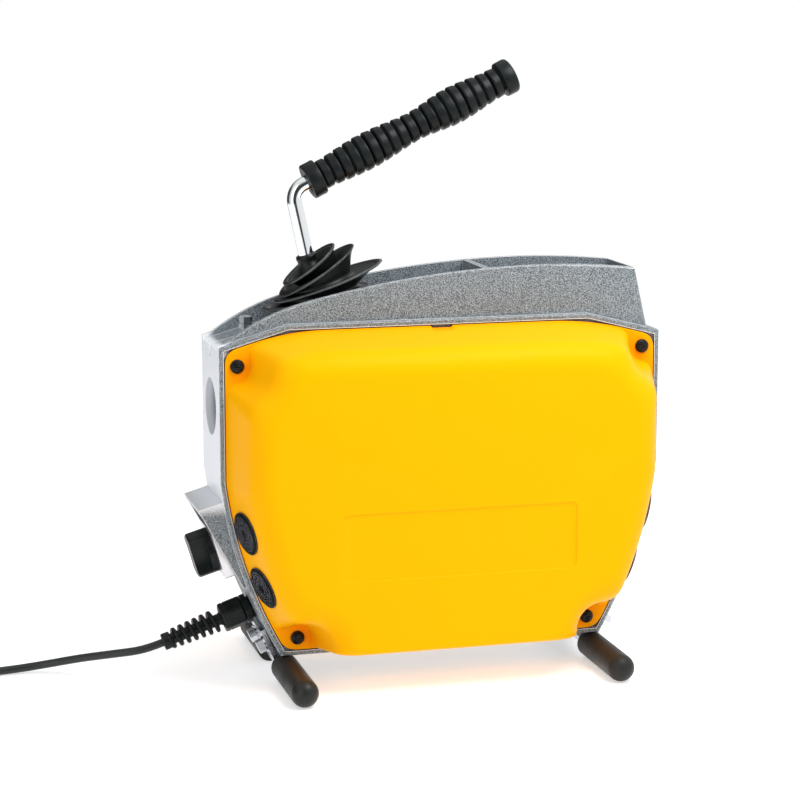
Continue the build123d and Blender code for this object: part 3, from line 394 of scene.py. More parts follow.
castingFinish = {
    "dark": (0.05, 0.06, 0.068),
    "light": (0.45, 0.52, 0.57),
    "cloud": (0.24, 0.265, 0.29),
    "cloudAmount": 0.25,
    # painted highlight and worn paint: white along the casting's edges
    "wornAndHighlitEdge": (1.0, 1.0, 1.0),
    "bare": (0.82, 0.845, 0.89),
    "specular": 0.55,
    "hammer": 1250.0,
    "grain": dict(Grain=900.0, Mottle=14.0),
    "edge": dict(Patch=25.0, Start=0.99, Full=0.95, Radius=0.0012, Least=1.0),
    # the paint fades out towards the machined front, above its lower edge and between the side flanges
    "machinedAhead": (place(-187, 0, 0)[0], place(-194, 0, 0)[0]),
    "machinedAbove": (0.150, 0.162),
    "machinedWithin": (0.0402, 0.0396),
    "machinedMetal": 0.2,
    "rough": (0.34, 0.5),
    "relief": 0.8,
    "depth": 0.0001,
    # painted shade: darker in the casting's corners, gaps and bore
    "recesses": [
        (0.008, 0.5, 0.15, (0.02, 0.02, 0.02), 0.9),
        (0.0035, 0.62, 0.3, (0.02, 0.012, 0.01), 0.9),
    ],
}


def makeCasting():
    # Hammered paint over cast aluminium; bare metal on the machined front; white along the edges, which is
    # partly worn paint and partly painted highlight
    finish = castingFinish
    material, tree, shader = newMaterial("castingPaint", specular=finish["specular"])
    hammer = addGroup(tree, "hammer", Scale=finish["hammer"])
    grain = addGroup(tree, "grain", **finish["grain"])
    paint = mixColour(tree, hammer, "Speckle", finish["light"], finish["dark"])
    clouded = mixColour(tree, grain, "Mottle", (paint, 2), finish["cloud"], finish["cloudAmount"])
    axes = newNode(tree, "SeparateXYZ")
    placeTexture(tree, axes)
    ahead = mapRange(tree, axes, "X", *finish["machinedAhead"])
    high = mapRange(tree, axes, "Z", *finish["machinedAbove"])
    inward = nearMiddle(tree, axes, *finish["machinedWithin"])
    front = multiplied(tree, ahead, "Result", high, "Result")
    machined = multiplied(tree, front, 0, inward, "Result")
    edge = addGroup(tree, "edge", **finish["edge"])
    bare = newNode(tree, "Math", operation="MAXIMUM", use_clamp=True)
    wire(tree, machined, 0, bare, 0)
    wire(tree, edge, "Edge", bare, 1)
    last = mixColour(tree, machined, 0, (clouded, 2), finish["bare"])
    last = mixColour(tree, edge, "Edge", (last, 2), finish["wornAndHighlitEdge"])
    last = shadeRecesses(tree, last, finish["recesses"])
    wire(tree, last, 2, shader, "Base Color")
    metal = newNode(tree, "Math", {1: finish["machinedMetal"]}, operation="MULTIPLY")
    wire(tree, machined, 0, metal, 0)
    wire(tree, metal, 0, shader, "Metallic")
    gloss = mapRange(tree, hammer, "Speckle", 0.0, 1.0, *finish["rough"])
    wire(tree, gloss, "Result", shader, "Roughness")
    covered = newNode(tree, "Math", {0: 1.0}, operation="SUBTRACT")
    wire(tree, bare, 0, covered, 1)
    relief = multiplied(tree, hammer, "Height", covered, 0)
    bump = newNode(tree, "Bump", {"Strength": finish["relief"], "Distance": finish["depth"]})
    wire(tree, relief, 0, bump, "Height")
    wire(tree, bump, "Normal", shader, "Normal")
    return material


materials = {name: makeFinish(name) for name in finishes}
materials["castingPaint"] = makeCasting()
print("materials made:", len(materials))

# Every CAD node takes the finish of its slot
slotFinish = {
    "casting_paint": "castingPaint", "cover_yellow": "coverYellow", "black_plastic": "blackMoulding",
    "black_screw": "blackScrew", "ground_steel": "groundSteel", "zinc_plate": "zincPlate",
    "chrome_rod": "chromeRod", "bare_aluminium": "bareAluminium", "soft_rubber": "capRubber",
    "cord_sheath": "cordSheath", "pale_nylon": "paleNylon",
}
nodeSlots = {part["node"]: part["material_slot"] for part in frame["record"]["subparts"]}


def dressNode(name, finish):
    data = nodes[name].data
    if len(data.materials) == 0:
        data.materials.append(materials[finish])
    for index in range(len(data.materials)):
        data.materials[index] = materials[finish]


for name, slot in nodeSlots.items():
    dressNode(name, slotFinish[slot])
dressNode("vent_plugs", "ventBlack")
print("CAD nodes dressed:", len(nodeSlots))


# Surfaces on a grid
def signedVolume(points, faces):
    corners = points[faces]
    return np.einsum("ij,ij->i", corners[:, 0], np.cross(corners[:, 1], corners[:, 2])).sum()


def gridPiece(name, grid, finish, body="root", wrapRows=False, poles=(None, None), sharp=None):
    # Four neighbouring points of a rows x columns array share a face, and each row closes on itself;
    # a pole point closes an end with a fan
    rows, columns = grid.shape[:2]
    points = grid.reshape(-1, 3)
    index = np.arange(rows * columns).reshape(rows, columns)
    below, above = (index, np.roll(index, -1, 0)) if wrapRows else (index[:-1], index[1:])
    quads = np.stack([below, np.roll(below, -1, 1), np.roll(above, -1, 1), above], axis=-1).reshape(-1, 4)
    triangles = np.zeros((0, 3), int)
    for pole, ring, order in ((poles[0], index[0], 1), (poles[1], index[-1], -1)):
        if pole is not None:
            fan = np.stack([np.full(columns, len(points)), np.roll(ring, -order), ring], axis=-1)
            triangles = np.concatenate([triangles, fan])
            points = np.concatenate([points, [pole]])
    halves = np.concatenate([quads[:, [0, 1, 2]], quads[:, [0, 2, 3]], triangles])
    mesh = bpy.data.meshes.new(name)
    mesh.from_pydata(points.tolist(), [], quads.tolist() + triangles.tolist())
    if signedVolume(points, halves) < 0:
        mesh.flip_normals()
    mesh.validate()
    mesh.shade_smooth()
    if sharp is not None:
        mesh.set_sharp_from_angle(angle=math.radians(sharp))
    mesh.materials.append(materials[finish])
    piece = addObject(name, mesh)
    if body:
        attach(piece, body)
    return piece


across = np.array([0, 1.0, 0])  # from the near side to the far side


def anglesRound(count):
    return np.arange(count) * 2 * np.pi / count


def spokes(way, angle):  # unit vectors square to the way, at these angles from straight across
    return np.cos(angle)[:, None] * across + np.sin(angle)[:, None] * np.cross(way, across)


def turnedGrid(profile, origin, way, columns):
    # Profile of (distance along, radius) turned about a line; returns points in millimetres
    profile = np.asarray(profile, float)
    around = spokes(way, anglesRound(columns))
    return origin + profile[:, None, :1] * way + profile[:, None, 1:] * around[None]


# Mains lead: out of the gland, down to the floor, then wound into a neat coil
cordSpec = {
    "diameter": 0.007,
    "length": 3.16,
    "route": [
        (-0.23079, 0.0, 0.03335), (-0.24694, 0.0, 0.02785), (-0.26994, 0.0085, 0.0240),
        (-0.29944, 0.0280, 0.0165), (-0.32444, 0.0450, 0.0085), (-0.34994, 0.0510, 0.0042),
        (-0.38794, 0.0470, 0.0035), (-0.41794, 0.0495, 0.0035),
    ],
    "coilCentre": (-0.43994, 0.0980),
    "lift": 0.0009,  # the tie's thickness, which the coil lies on
    "pointsPerTurn": 18,
    "turns": 11.5,
    # turn number and radius, then turn number and height, in mm: each step takes a short part of a turn
    "radii": [
        (0, 47), (0.83, 47), (1, 40), (1.83, 40), (2, 33), (3.83, 33), (4, 40), (4.83, 40), (5, 47),
        (6.83, 47), (7, 40), (7.83, 40), (8, 33), (9.83, 33), (10, 40), (10.83, 40), (11, 47), (11.5, 47),
    ],
    "heights": [
        (0, 3.5), (2.62, 3.5), (2.8, 10.5), (5.62, 10.5), (5.8, 17.5), (8.62, 17.5), (8.8, 24.5),
        (11.5, 24.5),
    ],
    "tail": [
        (-0.42494, 0.1458, 0.0252), (-0.40894, 0.1505, 0.0208), (-0.39744, 0.1605, 0.0152),
        (-0.39194, 0.1725, 0.0120),
    ],
}


def coilPoints():
    # Control points round the coil's centre, clockwise from its near side; N points a turn pull the curve in
    # to cos(pi / N) of its radius, so the radius is divided by that
    count = cordSpec["pointsPerTurn"]
    turn = np.arange(0, round(cordSpec["turns"] * count) + 1) / count
    radius = np.interp(turn, *zip(*cordSpec["radii"])) / 1000 / math.cos(math.pi / count)
    height = np.interp(turn, *zip(*cordSpec["heights"])) / 1000 + cordSpec["lift"]
    angle = -np.pi / 2 - 2 * np.pi * turn
    centre = cordSpec["coilCentre"]
    return np.stack([centre[0] + radius * np.cos(angle), centre[1] + radius * np.sin(angle), height], axis=-1)


def makeCord():
    controls = np.concatenate([cordSpec["route"], coilPoints(), cordSpec["tail"]])
    curve = bpy.data.curves.new("powerCord", "CURVE")
    curve.dimensions = "3D"
    spline = curve.splines.new("NURBS")
    spline.points.add(len(controls) - 1)
    spline.points.foreach_set("co", np.c_[controls, np.ones(len(controls))].astype(np.float32).ravel())
    spline.order_u = 3
    spline.use_endpoint_u = True
    spline.resolution_u = 5
    curve.bevel_depth = cordSpec["diameter"] / 2
    curve.bevel_resolution = 3
    curve.use_fill_caps = True
    curve.materials.append(materials["cordSheath"])
    piece = addObject("powerCord", curve)
    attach(piece, "root")
    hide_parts("power_cord", "cord_coil", "cord_tail")
    return piece


powerCord = makeCord()

coilTie = {
    "width": 15.0, "thick": 0.8, "inner": 29.3, "outer": 50.9, "low": 0.45, "high": 29.6, "corner": 4.0,
    "steps": 96,
    # the strap's section, in halves of its width and of its thickness
    "section": [(-1, -0.3), (-0.96, -1), (0.96, -1), (1, -0.3), (1, 0.3), (0.96, 1), (-0.96, 1), (-1, 0.3)],
}


def makeTie(name, degrees):
    # A flat strap carried round a rounded rectangle that encloses the turns at one place on the coil
    angle = anglesRound(coilTie["steps"])
    least = np.array([coilTie["inner"], coilTie["low"]])
    most = np.array([coilTie["outer"], coilTie["high"]])
    middle, half = (least + most) / 2, (most - least) / 2
    inset = half - coilTie["corner"]
    facing = np.stack([np.cos(angle), np.sin(angle)], axis=-1)
    loop = middle + np.sign(facing) * inset + facing * coilTie["corner"]
    section = np.array(coilTie["section"]) * (coilTie["width"] / 2, coilTie["thick"] / 2)
    reach = loop[:, None, :] + facing[:, None, :] * section[None, :, 1:]
    turn = math.radians(degrees)
    out = np.array([math.cos(turn), math.sin(turn), 0])
    along = np.array([-math.sin(turn), math.cos(turn), 0])
    grid = reach[..., :1] * out + section[None, :, :1] * along + reach[..., 1:] * np.array([0, 0, 1.0])
    grid = grid / 1000 + (*cordSpec["coilCentre"], 0)
    return gridPiece(name, grid, "tieWebbing", wrapRows=True, sharp=50)


ties = [makeTie("coilTieFront", 205), makeTie("coilTieRear", 20)]

# The gland's root in the housing, and the way it points: forwards and down
glandSlope = math.radians(19.1)
cordWay = np.array([-math.cos(glandSlope), 0, -math.sin(glandSlope)])
glandRoot = np.array([-163.0, 0.0, 61.0])

# Bend guard where the lead leaves the gland
bendGuard = {
    "start": 31.6, "pitch": 6.75, "turns": 6.7, "strip": 4.0, "outer": (10.7, 8.7), "inner": 4.9,
    "sunk": 0.3, "rowsPerTurn": 44, "fade": 22,
    # distance along the gland's line and radius
    "sleeve": [
        (20.4, 5.9), (31.3, 5.9), (31.6, 5.2), (76.6, 5.0), (77.0, 7.0), (77.5, 7.4), (83.6, 7.5),
        (84.3, 7.1), (84.5, 6.0),
    ],
    # the strip's section: share of its height above the sleeve and share of its width
    "section": [
        (0, -0.5), (0.72, -0.46), (0.93, -0.36), (1, -0.16), (1, 0.16), (0.93, 0.36), (0.72, 0.46), (0, 0.5),
    ],
}


def makeBendGuard():
    # Slim sleeve with a blocky end collar
    shape = bendGuard
    grid = turnedGrid(shape["sleeve"], glandRoot, cordWay, 48)
    ends = [placeAll(glandRoot + cordWay * shape["sleeve"][end][0]) for end in (0, -1)]
    sleeve = gridPiece("bendGuardSleeve", placeAll(grid), "blackMoulding", poles=ends, sharp=40)
    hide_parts("strain_relief")
    # Flat strip wound on the sleeve: a section with rounded outer corners follows a helix that tapers
    t = np.linspace(0, 1, int(shape["turns"] * shape["rowsPerTurn"]))
    angle = 2 * np.pi * shape["turns"] * t
    along = shape["start"] + shape["strip"] / 2 + shape["pitch"] * shape["turns"] * t
    fade = np.clip(np.minimum(t, 1 - t) * shape["fade"], 0, 1)  # the strip thins out at both ends
    outer = shape["inner"] + (np.interp(t, (0, 1), shape["outer"]) - shape["inner"]) * fade
    section = np.array(shape["section"])
    root = shape["inner"] - shape["sunk"]
    radius = root + section[None, :, 0] * (outer[:, None] - root)
    ahead = along[:, None] + section[None, :, 1] * shape["strip"]
    around = spokes(cordWay, angle)
    grid = glandRoot + ahead[..., None] * cordWay + radius[..., None] * around[:, None, :]
    ends = [placeAll(grid[0].mean(0)), placeAll(grid[-1].mean(0))]
    spiral = gridPiece("bendGuardSpiral", placeAll(grid), "blackMoulding", poles=ends, sharp=60)
    return sleeve, spiral


guardPieces = makeBendGuard()

glandNut = {
    "flat": 12.0, "corner": 13.35, "low": 9.3, "high": 29.7, "lead": 1.4, "columns": 144,
    "ribs": 0.12, "ribCount": 48, "ribArc": 0.36,
}


def makeGlandNut():
    # Hexagon whose corners are turned down to a circle, with a chamfer at each end and fine ribs on its flats
    angle = anglesRound(glandNut["columns"])
    folded = (angle + np.pi / 6) % (np.pi / 3) - np.pi / 6
    hexagon = np.minimum(glandNut["flat"] / np.cos(folded), glandNut["corner"])
    ribbedFlat = np.abs(folded) < glandNut["ribArc"]
    ribs = glandNut["ribs"] * (0.5 + 0.5 * np.cos(angle * glandNut["ribCount"])) * ribbedFlat
    low, high, lead = glandNut["low"], glandNut["high"], glandNut["lead"]
    # distance along, how far below the hexagon, and the largest radius where that is a circle
    free = 99
    stops = [(low, 0, 10.2), (low, 1.3, free), (low + 0.6, 0.3, free), (low + lead, 0, free)]
    stops += [(low + lead + 0.5, 0, free), (high - 5.2, 0, free), (high - 5.0, 0.6, free)]
    stops += [(high - 4.4, 0.6, free), (high - 4.2, 0, free), (high - lead, 0.1, free)]
    stops += [(high - 0.5, 0.7, free), (high, 1.9, free), (high, 0, 8.5), (high - 3, 0, 6.3)]
    stops = np.array(stops)
    ribbed = ((stops[:, 0] > low + lead) & (stops[:, 0] < high - lead))[:, None]
    radius = np.minimum(hexagon[None] - stops[:, 1:2] - ribs[None] * ribbed, stops[:, 2:3])
    around = spokes(cordWay, angle)
    grid = glandRoot + stops[:, None, :1] * cordWay + radius[..., None] * around[None]
    ends = [placeAll(glandRoot + cordWay * stops[end, 0]) for end in (0, -1)]
    nut = gridPiece("glandNut", placeAll(grid), "blackMoulding", poles=ends, sharp=25)
    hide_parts("gland_nut")
    return nut


glandNutPiece = makeGlandNut()
print("cord laid")

# Side covers
coverShape = {
    # outline, about the middle: half length, heights, then points on the side arc
    "half": 193.3, "cornerZ": 294.0, "topZ": 310.2, "topFront": -137.5, "topRear": 131.0,
    "sideLow": (193.3, 180.0), "belly": (179.0, 113.0), "bottom": (143.0, 29.0), "cornerSoft": 9.0,
    # section: gap to the housing, rim and its round's reach and middle, then the bulge's flank and edge
    "gap": 1.0, "rim": 3.0, "rimRound": (0.7, 0.2), "seat": 38.0, "height": 58.0, "draft": 15.0,
    "edgeRadius": 24.0, "foot": 2.0, "footSoft": 0.2, "lowSteep": 3.4,
    "screws": ((-182.0, 281.0), (181.0, 284.0), (-132.0, 41.0), (133.0, 41.0)),
    "padRadius": 12.0, "padSoft": 19.0,
    # middle x and z, width, height and corner radius of the plate recess, then how its lip goes in and down
    "plate": (0.0, 130.5, 207.0, 58.0, 4.0), "plateDepth": 1.0,
    "plateLip": [(0.9, 0.0), (0.35, 0.05), (0.0, 0.3), (-0.15, 0.8), (-0.45, 1.0)],
    "wall": 2.8, "plateWall": 2.0, "hollowDrop": 0.4,
    # centre, width and depth of the notch in the top edge, and how far the flank stays clear of it
    "notch": (-2.5, 19.0, 2.0), "notchClear": (0.75, 2.5),
}
coverRays = {  # how finely the outline is searched for and drawn
    "columns": 640, "turns": 7201, "near": 20, "far": 270, "steps": 1001, "end": 262, "parts": 1401,
}


def smoothMin(a, b, reach):  # the smaller of two, rounded off where they are within reach of each other
    return np.minimum(a, b) - np.maximum(reach - np.abs(a - b), 0) ** 2 / (4 * reach)


def throughThree(a, b, c):  # centre and radius of the circle through three points
    matrix = 2 * np.array([[b[0] - a[0], b[1] - a[1]], [c[0] - a[0], c[1] - a[1]]])
    squares = [b[0] ** 2 + b[1] ** 2 - a[0] ** 2 - a[1] ** 2, c[0] ** 2 + c[1] ** 2 - a[0] ** 2 - a[1] ** 2]
    centre = np.linalg.solve(matrix, squares)
    return centre, math.hypot(a[0] - centre[0], a[1] - centre[1])


def insideOutline(x, z, lowSteep=1.0):
    # Distance inside the outline: the least of the distances to its flats, its two slopes and its side arcs;
    # the distance from the lowest edge may be stretched, which makes the flank above it steeper
    shape = coverShape
    (centreX, centreZ), radius = throughThree(shape["sideLow"], shape["belly"], shape["bottom"])
    side = np.minimum(shape["half"] - np.abs(x), radius - np.hypot(np.abs(x) - centreX, z - centreZ))
    drop = shape["topZ"] - shape["cornerZ"]
    low = shape["gap"] + (z - shape["bottom"][1] - shape["gap"]) * lowSteep
    distance = smoothMin(side, low, shape["cornerSoft"])
    distance = smoothMin(distance, shape["topZ"] - z, shape["cornerSoft"])
    for start, sign in ((shape["topFront"], -1), (shape["topRear"], 1)):
        run = shape["half"] - sign * start
        length = math.hypot(run, drop)
        slope = ((shape["topZ"] - z) * run - sign * (x - start) * drop) / length
        distance = smoothMin(distance, slope, shape["cornerSoft"])
    return distance


def insideBulge(x, z):  # the outline's distance, cut back round the four screw pads
    distance = insideOutline(x, z, coverShape["lowSteep"])
    for screwX, screwZ in coverShape["screws"]:
        clear = np.hypot(x - screwX, z - screwZ) - coverShape["padRadius"] + coverShape["foot"]
        distance = smoothMin(distance, clear, coverShape["padSoft"])
    return distance


def bulgeHeight(distance):
    # Rim, then a flank at the draft angle, then a quarter round up to the flat face
    shape = coverShape
    steep = math.radians(90 - shape["draft"])
    radius = shape["edgeRadius"]
    roundTop = shape["height"] - radius
    meet = shape["foot"] + (roundTop + radius * math.cos(steep) - shape["rim"]) / math.tan(steep)
    middle = meet + radius * math.sin(steep)
    beyond = distance - shape["foot"]
    lifted = 0.5 * (beyond + np.sqrt(beyond ** 2 + shape["footSoft"] ** 2))
    flank = shape["rim"] + math.tan(steep) * lifted
    rounded = roundTop + np.sqrt(np.maximum(radius ** 2 - np.clip(middle - distance, 0, radius) ** 2, 0))
    return np.where(distance < meet, flank, rounded), meet, middle


def plateReach(angle, grow=0.0):
    # Distance from the plate's centre to its rounded outline, along each angle
    _, _, width, height, corner = coverShape["plate"]
    halfX, halfZ = width / 2 + grow, height / 2 + grow
    c, s = np.abs(np.cos(angle)), np.abs(np.sin(angle))
    straight = np.minimum(halfX / np.maximum(c, 1e-9), halfZ / np.maximum(s, 1e-9))
    cornerX, cornerZ = halfX - corner, halfZ - corner
    along = cornerX * c + cornerZ * s
    off = cornerX ** 2 + cornerZ ** 2 - corner ** 2
    curved = along + np.sqrt(np.maximum(along ** 2 - off, 0))
    inCorner = (straight * c > cornerX) & (straight * s > cornerZ)
    return np.where(inCorner, curved, straight)


def makeCover(name, side, node):
    # Rays leave the plate's centre; rings cross them where the inside distance takes chosen values
    shape = coverShape
    plateX, plateZ = shape["plate"][:2]
    count = coverRays["columns"]
    fine = np.linspace(0, 2 * np.pi, coverRays["turns"])
    reach = np.linspace(coverRays["near"], coverRays["far"], coverRays["steps"])
    coarse = insideOutline(plateX + np.cos(fine[:, None]) * reach, plateZ + np.sin(fine[:, None]) * reach)
    edge = reach[np.argmax(coarse < shape["gap"], axis=1)]
    steps = np.hypot(np.diff(edge * np.cos(fine)), np.diff(edge * np.sin(fine)))
    travelled = np.concatenate([[0], np.cumsum(steps)])
    angle = np.interp(np.arange(count) / count * travelled[-1], travelled, fine)
    plate = plateReach(angle)
    share = np.linspace(0, 1, coverRays["parts"])
    ray = plate[:, None] + (coverRays["end"] - plate[:, None]) * share
    x, z = plateX + np.cos(angle)[:, None] * ray, plateZ + np.sin(angle)[:, None] * ray
    bulge = np.minimum.accumulate(insideBulge(x, z), axis=1)
    outline = np.minimum.accumulate(insideOutline(x, z), axis=1)
    _, meet, middle = bulgeHeight(bulge)

    def crossing(field, value):  # ray length where the field falls to the value
        after = np.argmax(field < value, axis=1)
        rows = np.arange(count)
        high, low = field[rows, after - 1], field[rows, after]
        part = np.clip((high - value) / np.maximum(high - low, 1e-9), 0, 1)
        return ray[rows, after - 1] + part * (ray[rows, after] - ray[rows, after - 1])

    edgeRay = crossing(outline, shape["gap"])
    notchAt, notchWidth, notchDepth = shape["notch"]
    inNotch = (np.abs(plateX + np.cos(angle) * edgeRay - notchAt) < notchWidth / 2) & (np.sin(angle) > 0)
    edgeRay = edgeRay - np.where(inNotch, notchDepth / np.abs(np.sin(angle)).clip(0.1), 0)
    steep = math.radians(90 - shape["draft"])
    bend = middle - shape["edgeRadius"] * np.sin(np.linspace(steep, 0, 17))
    footLevels = [1.75, 1.9, 2.0, 2.1, 2.25, 2.5, 2.9]
    levels = np.concatenate([footLevels, np.linspace(3.5, meet, 11)[:-1], bend])
    levelRays = np.stack([crossing(bulge, value) for value in levels])
    clear = np.linspace(*shape["notchClear"], len(levels))[:, None]
    levelRays = np.minimum(levelRays, edgeRay - clear * inNotch)
    footRay, flatRay = levelRays[0], levelRays[-1]
    rim, height, depth = shape["rim"], shape["height"], shape["plateDepth"]
    reach, middle = shape["rimRound"]
    rimRay = edgeRay - reach
    rings = [(edgeRay, 0.0), (edgeRay, rim - reach), (edgeRay - middle, rim - middle), (rimRay, rim)]
    rings += [(rimRay + (footRay - rimRay) * part, rim) for part in (0.25, 0.5, 0.75, 0.92)]
    lipRay = plate + shape["plateLip"][0][0]
    inner = [(flatRay + (lipRay - flatRay) * part, height) for part in np.linspace(0.07, 0.93, 12)]
    inner += [(plateReach(angle, grow), height - drop) for grow, drop in shape["plateLip"]]
    inner += [(plate * part, height - depth) for part in (0.9, 0.6, 0.3, 0.08)]

    def ringPoints(length, tall):
        out = np.broadcast_to(side * (shape["seat"] + tall), length.shape)
        return np.stack([plateX + np.cos(angle) * length, out, plateZ + np.sin(angle) * length], axis=-1)

    outer = [ringPoints(length, tall) for length, tall in rings]
    outer += [ringPoints(length, bulgeHeight(value)[0]) for length, value in zip(levelRays, levels)]
    outer += [ringPoints(length, tall) for length, tall in inner]
    # The hollow side: the same rays, the wall's thickness further in, with fewer rings
    wall, drop = shape["wall"], shape["hollowDrop"]
    plateBack = height - depth - shape["plateWall"]
    shell = [ringPoints(plate * part, plateBack) for part in (0.08, 0.6, 1.0)]
    for value in np.concatenate([bend[::-2], [meet - 3, meet - 6, 3.0, 2.0]]):
        tall = np.clip(bulgeHeight(value)[0] - drop, drop, height - wall)
        shell.append(ringPoints(crossing(bulge, value + wall), tall))
    shell.append(ringPoints(crossing(bulge, 1.9 + wall), 0.0))
    grid = placeAll(np.concatenate([np.stack(shell), np.stack(outer)]))
    middles = [side * (shape["seat"] + tall) for tall in (plateBack, height - depth)]
    poles = [placeAll((plateX, middle, plateZ)) for middle in middles]
    cover = gridPiece(name, grid, "coverYellow", poles=poles, sharp=50)
    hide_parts(node)


makeCover("nearCover", -1, "near_cover")
makeCover("farCover", 1, "far_cover")
print("covers made")

# Lever grip
gripShape = {
    "corner": (-124.4, 424.4), "rise": 26.2, "start": 15.0, "length": 204.0, "rodRadius": 6.45,
    "collar": 15.7, "collarEnd": 12.6, "ribsEnd": 191.0, "ribs": 19, "perRib": 20, "flange": 15.5,
    # between ribs: the groove's depth and its width as a share of a rib; on each: its fall and its slant
    "groove": 2.2, "grooveWidth": 0.11, "crown": 0.3, "slant": 0.9,
    # rib number and crest radius
    "crest": [
        (0.5, 12.4), (1, 12.5), (3, 14.5), (5, 16.0), (7, 15.3), (9, 13.2), (10, 12.5), (11, 12.5),
        (12, 14.0), (14, 16.3), (15, 16.4), (16, 15.4), (17, 14.8), (18, 13.1), (19, 12.9), (19.5, 12.9),
    ],
}


def makeGrip():
    # Radius along the grip: a crest line that swells twice, less a narrow round-bottomed groove between ribs
    shape = gripShape
    perRib = shape["perRib"]
    pitch = (shape["ribsEnd"] - shape["collarEnd"]) / shape["ribs"]
    s = np.linspace(shape["collarEnd"], shape["ribsEnd"], shape["ribs"] * perRib + 1)
    number = (s - shape["collarEnd"]) / pitch + 0.5
    crest = np.interp(number, *zip(*shape["crest"]))
    window = 2 * perRib + 1  # the crest line is averaged over two ribs
    crest = np.convolve(np.pad(crest, perRib, "edge"), np.ones(window) / window, "valid")
    phase = (s - shape["collarEnd"]) / pitch % 1.0
    edge = np.minimum(phase, 1 - phase)
    groove = shape["groove"] * np.exp(-((edge / shape["grooveWidth"]) ** 2))
    groove = groove + shape["crown"] * (2 * phase - 1) ** 4 + shape["slant"] * (phase - 0.5)
    ribs = np.stack([s, crest - groove], axis=-1)
    hollow, collar, flange, end = shape["rodRadius"], shape["collar"], shape["flange"], shape["length"]
    head = [(1.6, hollow), (0.9, hollow + 0.5), (0.6, 9.5), (0.0, 12.0), (0.0, collar - 1.4)]
    head += [(0.4, collar - 0.4), (1.4, collar), (6.0, collar - 0.1), (10.8, collar), (11.9, collar - 0.5)]
    head += [(12.3, collar - 1.6), (12.5, 11.0)]
    tail = [(191.4, 11.0), (191.7, flange - 1.2), (192.4, flange - 0.2), (193.5, flange)]
    tail += [(201.0, flange + 0.1), (202.8, flange - 0.5), (203.7, flange - 1.8), (end, flange - 4.0)]
    tail += [(end, 5.0), (end - 0.6, 3.5)]
    profile = np.concatenate([head, ribs, tail])
    rise = math.radians(shape["rise"])
    way = np.array([math.cos(rise), 0, math.sin(rise)])
    origin = np.array([shape["corner"][0], 0, shape["corner"][1]]) + way * shape["start"]
    grid = turnedGrid(profile, origin, way, 72)
    poles = [placeAll(origin + way * s) for s in (head[0][0], tail[-1][0])]
    grip = gridPiece("leverGrip", placeAll(grid), "gripRubber", body="lever", poles=poles, sharp=70)
    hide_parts("lever_grip")


makeGrip()
print("grip made")

# Rubber boot: each ring is its front x and z and rear x and z on the middle plane, and its half width
bootRims = [
    (-132.0, 343.0, -88.0, 378.0, 23.0),
    (-135.5, 333.0, -71.0, 377.0, 27.5),
    (-141.5, 328.0, -45.5, 363.0, 30.0),
    (-150.5, 322.5, -57.0, 342.0, 30.5),
]
bootNecks = [
    (-124.0, 347.5, -99.0, 364.0, 13.5),
    (-117.5, 341.5, -83.0, 362.0, 16.0),
    (-128.0, 335.5, -74.0, 351.0, 22.0),
    (-134.0, 327.5, -68.0, 343.5, 25.0),
    (-142.0, 320.0, -62.0, 332.0, 27.0),
]
bootCollar = [
    (-119.0, 352.5, -100.5, 360.0, 10.8),
    (-119.5, 360.0, -103.0, 366.0, 9.0),
    (-119.9, 362.5, -104.0, 367.6, 8.6),
    (-121.0, 364.2, -103.6, 369.2, 9.6),
    (-121.2, 366.6, -104.2, 371.2, 9.6),
    (-120.2, 367.6, -105.4, 371.8, 8.4),
    (-119.6, 367.4, -106.6, 371.2, 6.9),
]
bootShape = {
    "steps": 9, "columns": 96, "wall": 0.0012,
    "closing": 2.8, "growth": 0.9,  # how early a fold's centre and its size come to the rim's
    "lip": ((0.65, 0.985), (0.3, 1.0), (-0.3, 1.0), (-0.65, 0.985)),  # lift off the rim, share of size
    # the hem and the edge turned in under it: share of the last ring's size, and lift
    "hem": (0.94, -1.5), "turnedIn": ((0.86, 0.8, 0.86), 0.2),
}


def ringOf(numbers):  # centre, half length vector and half width of a ring
    frontX, frontZ, rearX, rearZ, width = numbers
    centre = np.array([(frontX + rearX) / 2, 0, (frontZ + rearZ) / 2])
    return centre, np.array([(rearX - frontX) / 2, 0, (rearZ - frontZ) / 2]), width


def makeBoot():
    # Between a neck and a rim the ring's size grows steadily while its centre closes on the rim early, which
    # hollows each fold; the rim itself is a small round lip
    shape = bootShape
    rings = [ringOf(ring) for ring in bootCollar[::-1]]
    for index, rim in enumerate(bootRims):
        rimRing = ringOf(rim)
        for neck, outward in ((ringOf(bootNecks[index]), True), (ringOf(bootNecks[index + 1]), False)):
            for value in np.linspace(0, 1, shape["steps"])[(0 if outward else 1):-1]:  # each neck comes once
                size = value if outward else 1 - value
                growth = size ** shape["growth"]
                shares = (1 - (1 - size) ** shape["closing"], growth, growth)
                rings.append(tuple(a + (b - a) * share for a, b, share in zip(neck, rimRing, shares)))
            if outward:
                centre, half, width = rimRing
                normal = np.array([-half[2], 0, half[0]]) / np.linalg.norm(half)
                rings += [(centre + normal * lift, half * grow, width * grow) for lift, grow in shape["lip"]]
    angle = anglesRound(shape["columns"])[:, None]
    grid = np.stack([
        centre - np.cos(angle) * half + np.sin(angle) * width * across for centre, half, width in rings
    ])
    bottom = grid[-1].mean(0)
    for size, lift in (shape["hem"], shape["turnedIn"]):
        grid = np.concatenate([grid, [bottom + (grid[-1] - bottom) * size + (0, 0, lift)]])
    boot = gridPiece("leverBoot", placeAll(grid), "bootRubber", body=None)
    thickness = boot.modifiers.new("wall", "SOLIDIFY")
    thickness.thickness, thickness.offset = shape["wall"], -1
    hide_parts("lever_boot")
    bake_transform(boot)


makeBoot()
print("boot made")

